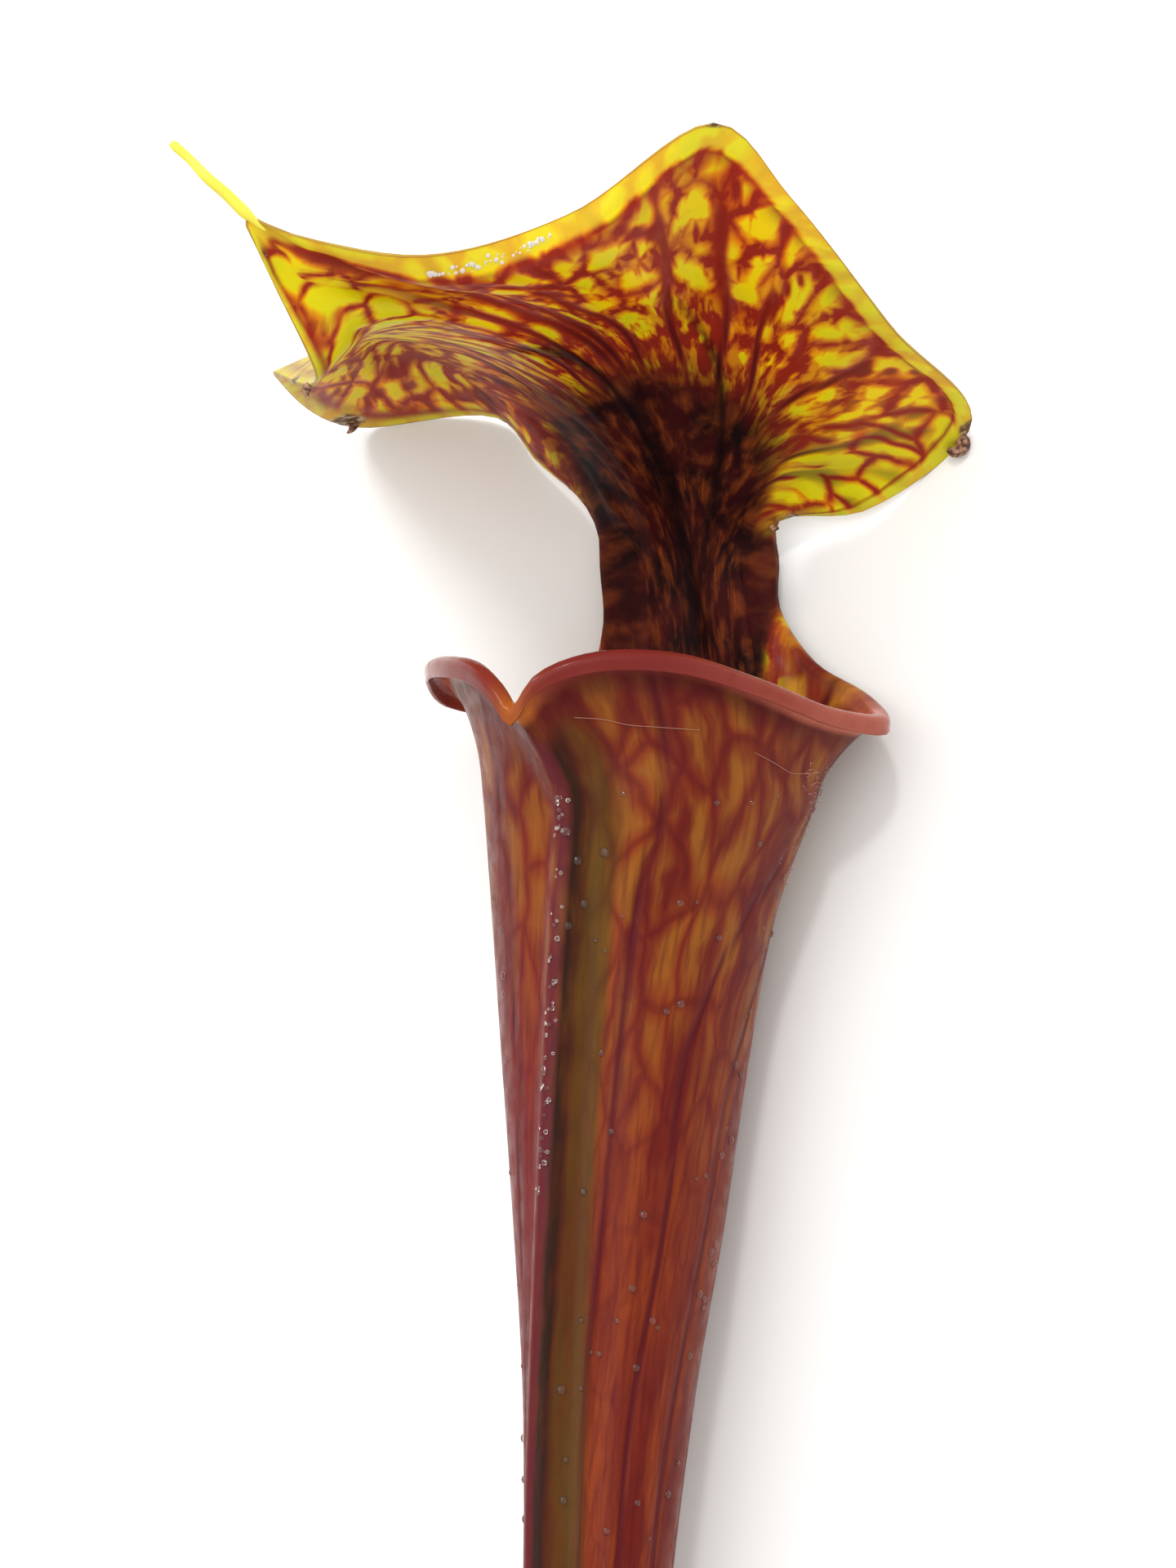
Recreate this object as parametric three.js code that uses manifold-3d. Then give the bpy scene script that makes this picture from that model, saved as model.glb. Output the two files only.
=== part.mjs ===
// A pitcher leaf of a carnivorous plant, picked and lying on its back.
// It grew as one piece: a tapering hollow tube with a keel down its front, a mouth with a
// rolled lip, a narrow column behind the mouth, and a broad waved lid with a thin tip.
// The leaf is one skin of even thickness, so one formula gives its middle surface, and each
// face is that surface moved out or in by half the thickness.
// Guide points are in millimetres in the leaf's own frame: left, up and front, as the leaf
// stands, from the middle of the column's top. The last step lays the leaf down.
import * as THREE from "three";
import Module from "manifold-3d";

const wasm = await Module();
wasm.setup();

// Thickness of the skin
const TUBE_WALL = 1.2;
const LID_WALL = 0.8;

// Length of a facet round the leaf, which sets how many columns of facets there are
const FACET_WIDTH = 9;

// The lip rolls outwards, nearly on to the outside of the tube
const LIP_RADIUS = 1.7;
const LIP_TURNS = [70, 140, 215];

// The column behind the mouth: a shallow channel with a groove down its middle
const COLUMN_HALF_WIDTH = 8.4;
const COLUMN_TOP = -9;
const COLUMN_RIB = 1.3;
const COLUMN_EDGE_DROP = 0.4;
const COLUMN_SET_BACK = 0.5;
const COLUMN_SPAN = 26;

// The lying pose: the leaf rests on its two back lobes and on the end of its stalk
const REST_PITCH = 7.74;
const REST_ROLL = -3.04;
const REST_SHIFT = [8.45, 129.83, 9.18];

// Rings of the tube from the cut stalk to just under the mouth. turn swings the keel
// towards the leaf's right, lower down.
const RINGS = [
  { up: -300, left: 3, front: 34, half: 2.3, back: 2, fore: 2.3, keel: 0.7, turn: 30 },
  { up: -284, left: 3, front: 35.2, half: 2.4, back: 2.2, fore: 2.4, keel: 0.9, turn: 30 },
  { up: -262, left: 3, front: 36.3, half: 3.1, back: 2.9, fore: 3.1, keel: 1.5, turn: 30 },
  { up: -238, left: 3, front: 36.8, half: 4.3, back: 4.1, fore: 4.3, keel: 2.3, turn: 28 },
  { up: -212, left: 3, front: 36.4, half: 5.9, back: 5.7, fore: 5.9, keel: 3, turn: 25 },
  { up: -184, left: 2.8, front: 34.6, half: 8, back: 7.9, fore: 8, keel: 3.4, turn: 22 },
  { up: -155, left: 2.6, front: 32, half: 10.2, back: 10, fore: 10.2, keel: 3.6, turn: 19 },
  { up: -130, left: 2.4, front: 28.5, half: 12, back: 12, fore: 12.1, keel: 3.7, turn: 16 },
  { up: -107, left: 2.1, front: 25, half: 14.7, back: 14.5, fore: 14.9, keel: 3.6, turn: 10 },
  { up: -84, left: 1.2, front: 21, half: 17.3, back: 16, fore: 18.1, keel: 3.4, turn: 4 },
  { up: -62, left: 1.4, front: 17.5, half: 20.3, back: 15, fore: 22.5, keel: 3, turn: 0 },
  { up: -46, left: 3, front: 14.5, half: 24, back: 13.5, fore: 27.5, keel: 2.4, turn: 0 },
];

// Keel: a sharp ridge with a groove on its left side, both wider on a wider tube
const KEEL_WIDTH = 7;
const KEEL_WIDTH_TUBE = 16;
const KEEL_LEAST_TUBE = 6;
const GROOVE_DEPTH = 0.25;
const GROOVE_PLACE = 2.6;
const GROOVE_WIDTH = 1.5;

// A place on the rim of the mouth: its bearing round the tube, in degrees from the keel
// towards the leaf's left, and the point where the skin starts to roll.
const rim = (bearing, lip, roll = 1) => ({ bearing, lip, roll });

// A place on the column's edge: five points that go up and then turn out to the margin
const edge = (bearing, ...points) => ({ bearing, points });

// A vein of the lid: its place across the column, from 1 at the left edge to -1 at the
// right, and four points up the lid: near, middle, fold and margin.
const vein = (across, ...points) => ({
  bearing: 180 - COLUMN_SPAN * across,
  points: [columnTop(across), ...points],
});

// The column has a rib on each side of its middle, and its edges drop back
function columnTop(across) {
  const rib = (COLUMN_RIB * (1 - Math.cos(2 * Math.PI * across))) / 2;
  const drop = COLUMN_EDGE_DROP * across ** 6;
  return [COLUMN_HALF_WIDTH * across, COLUMN_TOP, rib - drop - COLUMN_SET_BACK];
}

// Once round the leaf from the notch at the front, by its left side
const STATIONS = [
  rim(0, [0, -34, 51]),
  rim(8, [3, -29.5, 50]),
  rim(20, [9, -26.5, 46]),
  rim(42, [18, -26.5, 38]),
  rim(64, [25.5, -30, 29]),
  rim(84, [31, -34, 19]),
  rim(104, [33.5, -35, 8]),
  rim(121, [27.5, -31.5, 0.5], 0.8),
  rim(134, [18, -26, -2], 0.6),
  // left edge of the column
  edge(144, [13.4, -31, 0.8], [12.7, -24, -0.5], [13, -20.5, -0.9], [13.7, -18, -1.8], [13, -17.2, -4.3]),
  edge(149, [9.8, -21, -0.6], [10.8, -15.4, -0.8], [12.1, -13.6, -0.8], [13.6, -11.4, -1.5], [13, -10.9, -4.2]),
  vein(1, [10.5, -6.5, -0.6], [12.1, -5.2, -0.6], [13.6, -4, -1.3], [13, -4.6, -4.2]),
  // left half of the lid, from its back lobe to the tip
  vein(0.9, [15, 0.5, 2], [19, 1, -1], [24, -1.5, -6], [25.5, -3, -8]),
  vein(0.8, [17.8, 4.2, 5], [29, 7.5, 3], [39.5, 10.5, -6.3], [40.8, 9, -11.4]),
  vein(0.6, [19, 10, 12], [29.5, 17, 16], [39, 22, 18], [42, 22.5, 17]),
  vein(0.45, [17, 14.5, 17], [29, 29, 34], [35, 39, 42], [37.5, 40, 40]),
  vein(0.35, [14, 16.5, 20], [22.5, 32.5, 39], [29.5, 46, 50], [31.5, 50, 51]),
  vein(0.25, [8.5, 18, 23], [15.5, 28, 46], [18, 33.5, 64], [16, 37, 66]),
  vein(0.14, [4.3, 18.2, 25], [5.5, 25.5, 56], [3.5, 27, 80], [2.9, 30.5, 84.6]),
  vein(0.08, [2.7, 17.6, 25], [2.8, 25.6, 58], [-8.5, 30.2, 89.6], [-9.8, 32.5, 93.2]),
  vein(0.04, [1.9, 17.2, 25], [1.4, 25.6, 59.3], [-10.3, 30.9, 91.2], [-14.4, 34.7, 99.9]),
  vein(0, [1.2, 16.6, 25], [0, 25.4, 60], [-11.6, 30.6, 93], [-16.6, 36.2, 102.2]),
  // right half of the lid, from the tip to its back lobe
  vein(-0.04, [0.6, 15.9, 24.8], [-1.2, 24.8, 59.5], [-12.4, 29.6, 92.6], [-15.8, 33.5, 101.2]),
  vein(-0.08, [0, 15, 24.2], [-2.4, 24, 58.5], [-13, 27.8, 91.6], [-16, 27.5, 95]),
  vein(-0.15, [-0.8, 13.3, 23], [-4, 22, 55], [-10, 22, 82], [-14, 15, 86]),
  vein(-0.3, [-4, 9, 19], [-12, 19, 38], [-30, 22, 40], [-49, 16.5, 36]),
  vein(-0.5, [-7, 5.5, 13], [-19, 16.5, 20], [-39, 21, 14], [-58.7, 10.5, -5.4]),
  vein(-0.7, [-9.5, 2.5, 8], [-17.5, 9.5, 8], [-30, 15, 5], [-35, 11.5, -7]),
  vein(-0.85, [-11, -1, 5], [-14, 2.5, 4], [-19, 5, 3], [-28, 5, -6]),
  // right edge of the column
  vein(-1, [-11, -6, -0.1], [-13, -4.5, 0.1], [-15, -3.4, -0.7], [-18.6, -2, -4]),
  edge(211, [-10, -22, -0.5], [-11.3, -16.2, -0.6], [-12.8, -14, -0.6], [-14.5, -11.8, -1.2], [-14.8, -11, -4.1]),
  edge(216, [-13.6, -32.5, 0.8], [-13.1, -26, -0.4], [-13.6, -22.5, -0.8], [-14.2, -20, -1.6], [-13.6, -19.3, -4.2]),
  rim(226, [-18, -29, -2], 0.6),
  rim(240, [-26.5, -33, 2], 0.8),
  rim(260, [-29.5, -31, 13]),
  rim(282, [-25.5, -27.5, 26]),
  rim(305, [-17, -26.8, 38]),
  rim(330, [-8, -28, 46.5]),
  rim(350, [-3, -31, 50]),
];

// The thin tip, from inside the lid's point to its rounded end
const TIP = [
  { at: [-14.8, 34, 99.3], radius: 0.5 },
  { at: [-16.2, 36.2, 101.8], radius: 0.65 },
  { at: [-18, 38.6, 103.6], radius: 0.65 },
  { at: [-20, 41, 105], radius: 0.8 },
  { at: [-22.2, 43.4, 106.4], radius: 0.65 },
  { at: [-23.9, 45.2, 107.5], radius: 0.7 },
  { at: [-24.5, 45.8, 107.9], radius: 0.45 },
];
const TIP_SIDES = 8;

// How far up the leaf each row of facets lies, counted in guide loops: the rings, then the
// column's top, the lid's near and middle points, its fold, two on the way, and the margin
const ROWS_PER_LOOP = [1, 1, 1, 1, 1, 1, 1, 1, 1, 2, 2, 3, 2, 3, 3, 2, 2, 2];

// The tube is hollow from this ring up, and the stalk below it is solid
const HOLLOW_FROM_RING = 4;

const radians = (degrees) => (degrees * Math.PI) / 180;
const vector = (point) => new THREE.Vector3(...point);

// Angle from a bearing to the nearest turn of another, between -180 and 180
const bearingGap = (bearing, from) => ((((bearing - from + 180) % 360) + 360) % 360) - 180;

// A point of a tube ring at a bearing, with the keel and its groove
function ringPoint(ring, bearing) {
  const angle = radians(bearing - ring.turn);
  const depth = Math.cos(angle) > 0 ? ring.fore : ring.back;
  const width = (KEEL_WIDTH * KEEL_WIDTH_TUBE) / Math.max(ring.fore, KEEL_LEAST_TUBE);
  const ridge = Math.exp(-((bearingGap(bearing, 0) / width) ** 2));
  const groove = Math.exp(-((bearingGap(bearing, GROOVE_PLACE * width) / (GROOVE_WIDTH * width)) ** 2));
  const swell = 1 + (ring.keel * (ridge - GROOVE_DEPTH * groove)) / Math.max(ring.fore, 3);
  return new THREE.Vector3(
    ring.left + ring.half * Math.sin(angle) * swell,
    ring.up,
    ring.front + depth * Math.cos(angle) * swell,
  );
}

// A spline through points that are unevenly spaced, without overshoot (centripetal).
// a, b, c and d are four points in a row, and t runs from b to c.
function splinePoint(a, b, c, d, t) {
  const knot = (p, q) => Math.sqrt(Math.max(p.distanceTo(q), 1e-6));
  const before = knot(a, b);
  const here = knot(b, c);
  const after = knot(c, d);
  const slope = (p, q, r, first, second) =>
    q.clone().sub(p).divideScalar(first)
      .sub(r.clone().sub(p).divideScalar(first + second))
      .add(r.clone().sub(q).divideScalar(second))
      .multiplyScalar(here);
  const start = slope(a, b, c, before, here);
  const end = slope(b, c, d, here, after);
  const t2 = t * t;
  const t3 = t2 * t;
  return b.clone().multiplyScalar(2 * t3 - 3 * t2 + 1)
    .addScaledVector(start, t3 - 2 * t2 + t)
    .addScaledVector(c, 3 * t2 - 2 * t3)
    .addScaledVector(end, t3 - t2);
}

// A closed loop of guide points, read at a place counted in stations
function onLoop(loop, place) {
  const first = Math.floor(place);
  const at = (offset) => loop[(first + offset + loop.length) % loop.length];
  return splinePoint(at(-1), at(0), at(1), at(2), place - first);
}

// An open line of guide points, read at a place counted in points
function onLine(line, place) {
  const last = line.length - 1;
  const first = Math.min(Math.floor(place), last - 1);
  const at = (index) => {
    if (index < 0) return line[0].clone().multiplyScalar(2).sub(line[1]);
    if (index > last) return line[last].clone().multiplyScalar(2).sub(line[last - 1]);
    return line[index];
  };
  return splinePoint(at(first - 1), at(first), at(first + 1), at(first + 2), place - first);
}

// Seven guide points above the top ring, where the rim flares out and rolls over
function rimGuides({ bearing, lip, roll }) {
  const foot = ringPoint(RINGS[RINGS.length - 1], bearing);
  const top = vector(lip);
  const flare = (t) => {
    const point = foot.clone().lerp(top, t ** 1.7);
    point.y = foot.y + (top.y - foot.y) * t;
    return point;
  };
  const mouthMiddle = new THREE.Vector3(0, top.y, 14);
  const outward = top.clone().sub(mouthMiddle).normalize();
  const radius = LIP_RADIUS * roll;
  const rolled = (fullTurn) => {
    const turn = radians(fullTurn * roll);
    const point = top.clone().addScaledVector(outward, radius * (1 - Math.cos(turn)));
    point.y += radius * Math.sin(turn);
    return point;
  };
  return [flare(0.35), flare(0.65), flare(0.86), top, ...LIP_TURNS.map(rolled)];
}

// Seven guide points above the top ring, up the column and out to the lid's margin
function veinGuides({ points }) {
  const [foot, near, middle, fold, margin] = points.map(vector);
  const towardsMargin = (part) => fold.clone().lerp(margin, part);
  return [foot, near, middle, fold, towardsMargin(0.35), towardsMargin(0.7), margin];
}

const guides = STATIONS.map((station) => (station.points ? veinGuides(station) : rimGuides(station)));
const loops = guides[0].map((_, level) => guides.map((column) => column[level]));
const bearings = STATIONS.map((station) => station.bearing);

function bearingAt(place) {
  const first = Math.floor(place);
  const next = first + 1 < bearings.length ? bearings[first + 1] : 360;
  return bearings[first] + (next - bearings[first]) * (place - first);
}

// A point of the leaf's middle surface, by its place round the leaf and up it
function leafLine(place) {
  const bearing = bearingAt(place);
  return [...RINGS.map((ring) => ringPoint(ring, bearing)), ...loops.map((loop) => onLoop(loop, place))];
}

// Columns of facets: more of them where two stations are far apart
const columnPlaces = STATIONS.flatMap((_, index) => {
  const next = (index + 1) % STATIONS.length;
  const gap = Math.max(...loops.map((loop) => loop[index].distanceTo(loop[next])));
  const steps = Math.max(1, Math.round(gap / FACET_WIDTH));
  return Array.from({ length: steps }, (_unused, step) => index + step / steps);
});

const rowPlaces = ROWS_PER_LOOP.flatMap((steps, level) =>
  Array.from({ length: steps }, (_unused, step) => level + step / steps),
);
rowPlaces.push(ROWS_PER_LOOP.length);

// The middle surface as a grid, and its outward direction at each point
const lines = columnPlaces.map(leafLine);
const grid = rowPlaces.map((row) => lines.map((line) => onLine(line, row)));
const COLUMNS = columnPlaces.length;
const ROWS = rowPlaces.length;

// The direction a cell of the grid faces
function cellFacing(row, column) {
  const next = (column + 1) % COLUMNS;
  const rising = grid[row + 1][next].clone().sub(grid[row][column]);
  const falling = grid[row + 1][column].clone().sub(grid[row][next]);
  return rising.cross(falling).normalize();
}

// The outward direction at a grid point is midway between those of the cells round it
function outwardAt(row, column) {
  const outward = new THREE.Vector3();
  const before = (column + COLUMNS - 1) % COLUMNS;
  for (const cellRow of [row - 1, row]) {
    if (cellRow < 0 || cellRow + 1 >= ROWS) continue;
    outward.add(cellFacing(cellRow, column));
    outward.add(cellFacing(cellRow, before));
  }
  return outward.normalize();
}

// The skin thins from the tube to the lid
function wallAt(row) {
  const part = THREE.MathUtils.smoothstep(rowPlaces[row], RINGS.length - 1, RINGS.length + 2);
  return THREE.MathUtils.lerp(TUBE_WALL, LID_WALL, part);
}

const face = (side) =>
  grid.map((points, row) =>
    points.map((point, column) =>
      point.clone().addScaledVector(outwardAt(row, column), (side * wallAt(row)) / 2),
    ),
  );

// A closed surface through rings of points, with a flat end on the first and the last ring.
// From one ring on, its cells are split along the other diagonal.
function loft(rings, otherDiagonalFrom = rings.length) {
  const count = rings[0].length;
  const vertices = rings.flat();
  const triangles = [];
  for (let ring = 0; ring + 1 < rings.length; ring++) {
    for (let side = 0; side < count; side++) {
      const next = (side + 1) % count;
      const [a, b] = [ring * count + side, ring * count + next];
      const [c, d] = [b + count, a + count];
      triangles.push(...(ring < otherDiagonalFrom ? [a, b, c, a, c, d] : [a, b, d, b, c, d]));
    }
  }
  const closeEnd = (ring, facesBack) => {
    const middle = new THREE.Vector3();
    rings[ring].forEach((point) => middle.addScaledVector(point, 1 / count));
    const centre = vertices.push(middle) - 1;
    for (let side = 0; side < count; side++) {
      const [a, b] = [ring * count + side, ring * count + ((side + 1) % count)];
      triangles.push(...(facesBack ? [centre, b, a] : [centre, a, b]));
    }
  };
  closeEnd(0, true);
  closeEnd(rings.length - 1, false);
  return new wasm.Manifold(
    new wasm.Mesh({
      numProp: 3,
      vertProperties: new Float32Array(vertices.flatMap((point) => point.toArray())),
      triVerts: new Uint32Array(triangles),
    }),
  );
}

// The skin runs up the outside, over the free edge and down the inside to the hollow's
// bottom. Both faces are split alike, so they stay the same distance apart.
const outside = face(1);
const inside = face(-1).slice(HOLLOW_FROM_RING).reverse();
const skin = loft([...outside, ...inside], outside.length);

// The thin tip stands out of the lid's point
function tipRings() {
  const line = new THREE.CatmullRomCurve3(TIP.map(({ at }) => vector(at)));
  const frames = line.computeFrenetFrames(TIP.length - 1);
  return TIP.map(({ radius }, index) => {
    const centre = line.getPoint(index / (TIP.length - 1));
    return Array.from({ length: TIP_SIDES }, (_unused, side) => {
      const angle = (2 * Math.PI * side) / TIP_SIDES;
      return centre.clone()
        .addScaledVector(frames.normals[index], radius * Math.cos(angle))
        .addScaledVector(frames.binormals[index], radius * Math.sin(angle));
    });
  });
}

const solid = skin.add(loft(tipRings())).getMesh();
const geometry = new THREE.BufferGeometry();
geometry.setAttribute("position", new THREE.BufferAttribute(solid.vertProperties, solid.numProp));
geometry.setIndex(new THREE.BufferAttribute(solid.triVerts, 1));

const LEAF_COLOUR = 0x7c3322;
const pitcher = new THREE.Mesh(
  geometry,
  new THREE.MeshStandardMaterial({ color: LEAF_COLOUR, roughness: 0.5, metalness: 0 }),
);
pitcher.name = "pitcher";

// Left, up and front become +X, +Y and +Z, so the leaf lies on its back
const leaf = new THREE.Group();
leaf.add(pitcher);
leaf.rotation.set(radians(REST_PITCH), radians(REST_ROLL), 0);
leaf.position.set(...REST_SHIFT);

const part = new THREE.Group();
part.add(leaf);

export default part;
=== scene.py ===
# A pitcher leaf of a carnivorous plant, lying on its back on a pale studio floor.
# The leaf's surface follows the same guide points as its solid, with a finer grid, and its
# colours follow its own veins: each point knows how far round and how far up the leaf it is.
import math
import random

import bpy
import numpy as np
from mathutils import Matrix, Vector


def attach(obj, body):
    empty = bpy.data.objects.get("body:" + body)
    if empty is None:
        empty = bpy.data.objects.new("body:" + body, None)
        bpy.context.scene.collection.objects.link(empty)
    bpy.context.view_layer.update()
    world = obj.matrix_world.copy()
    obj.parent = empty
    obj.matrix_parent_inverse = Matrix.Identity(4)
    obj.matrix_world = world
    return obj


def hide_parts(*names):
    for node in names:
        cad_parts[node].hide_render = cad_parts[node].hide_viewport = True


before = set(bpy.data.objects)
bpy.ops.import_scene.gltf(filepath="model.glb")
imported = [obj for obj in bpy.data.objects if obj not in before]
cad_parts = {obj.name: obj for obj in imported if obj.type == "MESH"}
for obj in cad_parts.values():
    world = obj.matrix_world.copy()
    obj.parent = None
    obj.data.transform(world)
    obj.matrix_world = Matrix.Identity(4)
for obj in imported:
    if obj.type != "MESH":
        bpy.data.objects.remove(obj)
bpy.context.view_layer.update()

MM = 0.001

# Guide points are in millimetres in the leaf's own frame: left, up and front, as it stands.
# The lying pose turns that frame and sets it on the floor, as in the solid.
REST_PITCH = math.radians(7.74)
REST_ROLL = math.radians(-3.04)
REST_SHIFT = Vector((8.45, 129.83, 9.18))

# Thickness of the leaf, and the rows over which it thins
TUBE_WALL = 1.2
LID_WALL = 0.8
MARGIN_WALL = 0.5
WALL_THINS = (11, 14)
MARGIN_THINS = (16.5, 18)

# The rim flares out from the mouth's middle, and its lip rolls outwards
RIM_PARTS = (0.35, 0.65, 0.86)
RIM_FLARE = 1.7
MOUTH_FRONT = 14
LIP_RADIUS = 1.7
LIP_TURNS = (70, 140, 215)

# Guide rows between a vein's fold and the lid's margin
FOLD_PARTS = (0.35, 0.7, 1)

# The column behind the mouth
COLUMN_HALF_WIDTH = 8.4
COLUMN_TOP = -9
COLUMN_RIB = 1.3
COLUMN_EDGE_DROP = 0.4
COLUMN_SET_BACK = 0.5
COLUMN_SPAN = 26

# Keel down the front of the tube, with a groove on its left side
KEEL_WIDTH = 7
KEEL_WIDTH_TUBE = 16
KEEL_LEAST_TUBE = 6
GROOVE_DEPTH = 0.25
GROOVE_PLACE = 2.6
GROOVE_WIDTH = 1.5

# Camera: level with the standing leaf, a little to its left, far away with a long lens
VIEW_AZIMUTH = math.radians(28)
VIEW_DISTANCE = 1500
VIEW_CENTRE = (-14.4, -43.2)
VIEW_HEIGHT = 230.4

# Rings of the tube: up, left, front, half width, depth behind, depth in front, keel, turn
RINGS = (
    (-300, 3, 34, 2.3, 2, 2.3, 0.7, 30),
    (-284, 3, 35.2, 2.4, 2.2, 2.4, 0.9, 30),
    (-262, 3, 36.3, 3.1, 2.9, 3.1, 1.5, 30),
    (-238, 3, 36.8, 4.3, 4.1, 4.3, 2.3, 28),
    (-212, 3, 36.4, 5.9, 5.7, 5.9, 3, 25),
    (-184, 2.8, 34.6, 8, 7.9, 8, 3.4, 22),
    (-155, 2.6, 32, 10.2, 10, 10.2, 3.6, 19),
    (-130, 2.4, 28.5, 12, 12, 12.1, 3.7, 16),
    (-107, 2.1, 25, 14.7, 14.5, 14.9, 3.6, 10),
    (-84, 1.2, 21, 17.3, 16, 18.1, 3.4, 4),
    (-62, 1.4, 17.5, 20.3, 15, 22.5, 3, 0),
    (-46, 3, 14.5, 24, 13.5, 27.5, 2.4, 0),
)
TOP_RING = len(RINGS) - 1


def ring_point(ring, bearing):
    """A point of a tube ring at a bearing, in degrees from the keel to the leaf's left."""
    up, left, front, half, back, fore, keel, turn = ring
    angle = math.radians(bearing - turn)
    depth = fore if math.cos(angle) > 0 else back
    width = KEEL_WIDTH * KEEL_WIDTH_TUBE / max(fore, KEEL_LEAST_TUBE)

    def gap(place):
        return (bearing - place + 180) % 360 - 180

    ridge = math.exp(-((gap(0) / width) ** 2))
    groove = math.exp(-((gap(GROOVE_PLACE * width) / (GROOVE_WIDTH * width)) ** 2))
    swell = 1 + keel * (ridge - GROOVE_DEPTH * groove) / max(fore, 3)
    return Vector((
        left + half * math.sin(angle) * swell,
        up,
        front + depth * math.cos(angle) * swell,
    ))


def rim(bearing, lip, roll=1):
    """Guide points over the top ring, where the rim flares out and rolls over."""
    foot = ring_point(RINGS[TOP_RING], bearing)
    top = Vector(lip)
    points = []
    for part in RIM_PARTS:
        point = foot.lerp(top, part**RIM_FLARE)
        point.y = foot.y + (top.y - foot.y) * part
        points.append(point)
    points.append(top)
    outward = (top - Vector((0, top.y, MOUTH_FRONT))).normalized()
    radius = LIP_RADIUS * roll
    for full_turn in LIP_TURNS:
        turn = math.radians(full_turn * roll)
        rise = Vector((0, radius * math.sin(turn), 0))
        points.append(top + outward * radius * (1 - math.cos(turn)) + rise)
    return bearing, points


def edge(bearing, foot, near, middle, fold, margin):
    """Guide points up the column's edge, or up a vein of the lid, and out to the margin."""
    points = [Vector(point) for point in (foot, near, middle, fold)]
    last = Vector(margin)
    return bearing, points + [points[3].lerp(last, part) for part in FOLD_PARTS]


def vein(across, near, middle, fold, margin):
    """A vein of the lid, from its place across the column: 1 left edge, -1 right edge."""
    rib = COLUMN_RIB * (1 - math.cos(2 * math.pi * across)) / 2
    drop = COLUMN_EDGE_DROP * across**6
    foot = (COLUMN_HALF_WIDTH * across, COLUMN_TOP, rib - drop - COLUMN_SET_BACK)
    return edge(180 - COLUMN_SPAN * across, foot, near, middle, fold, margin)


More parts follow.
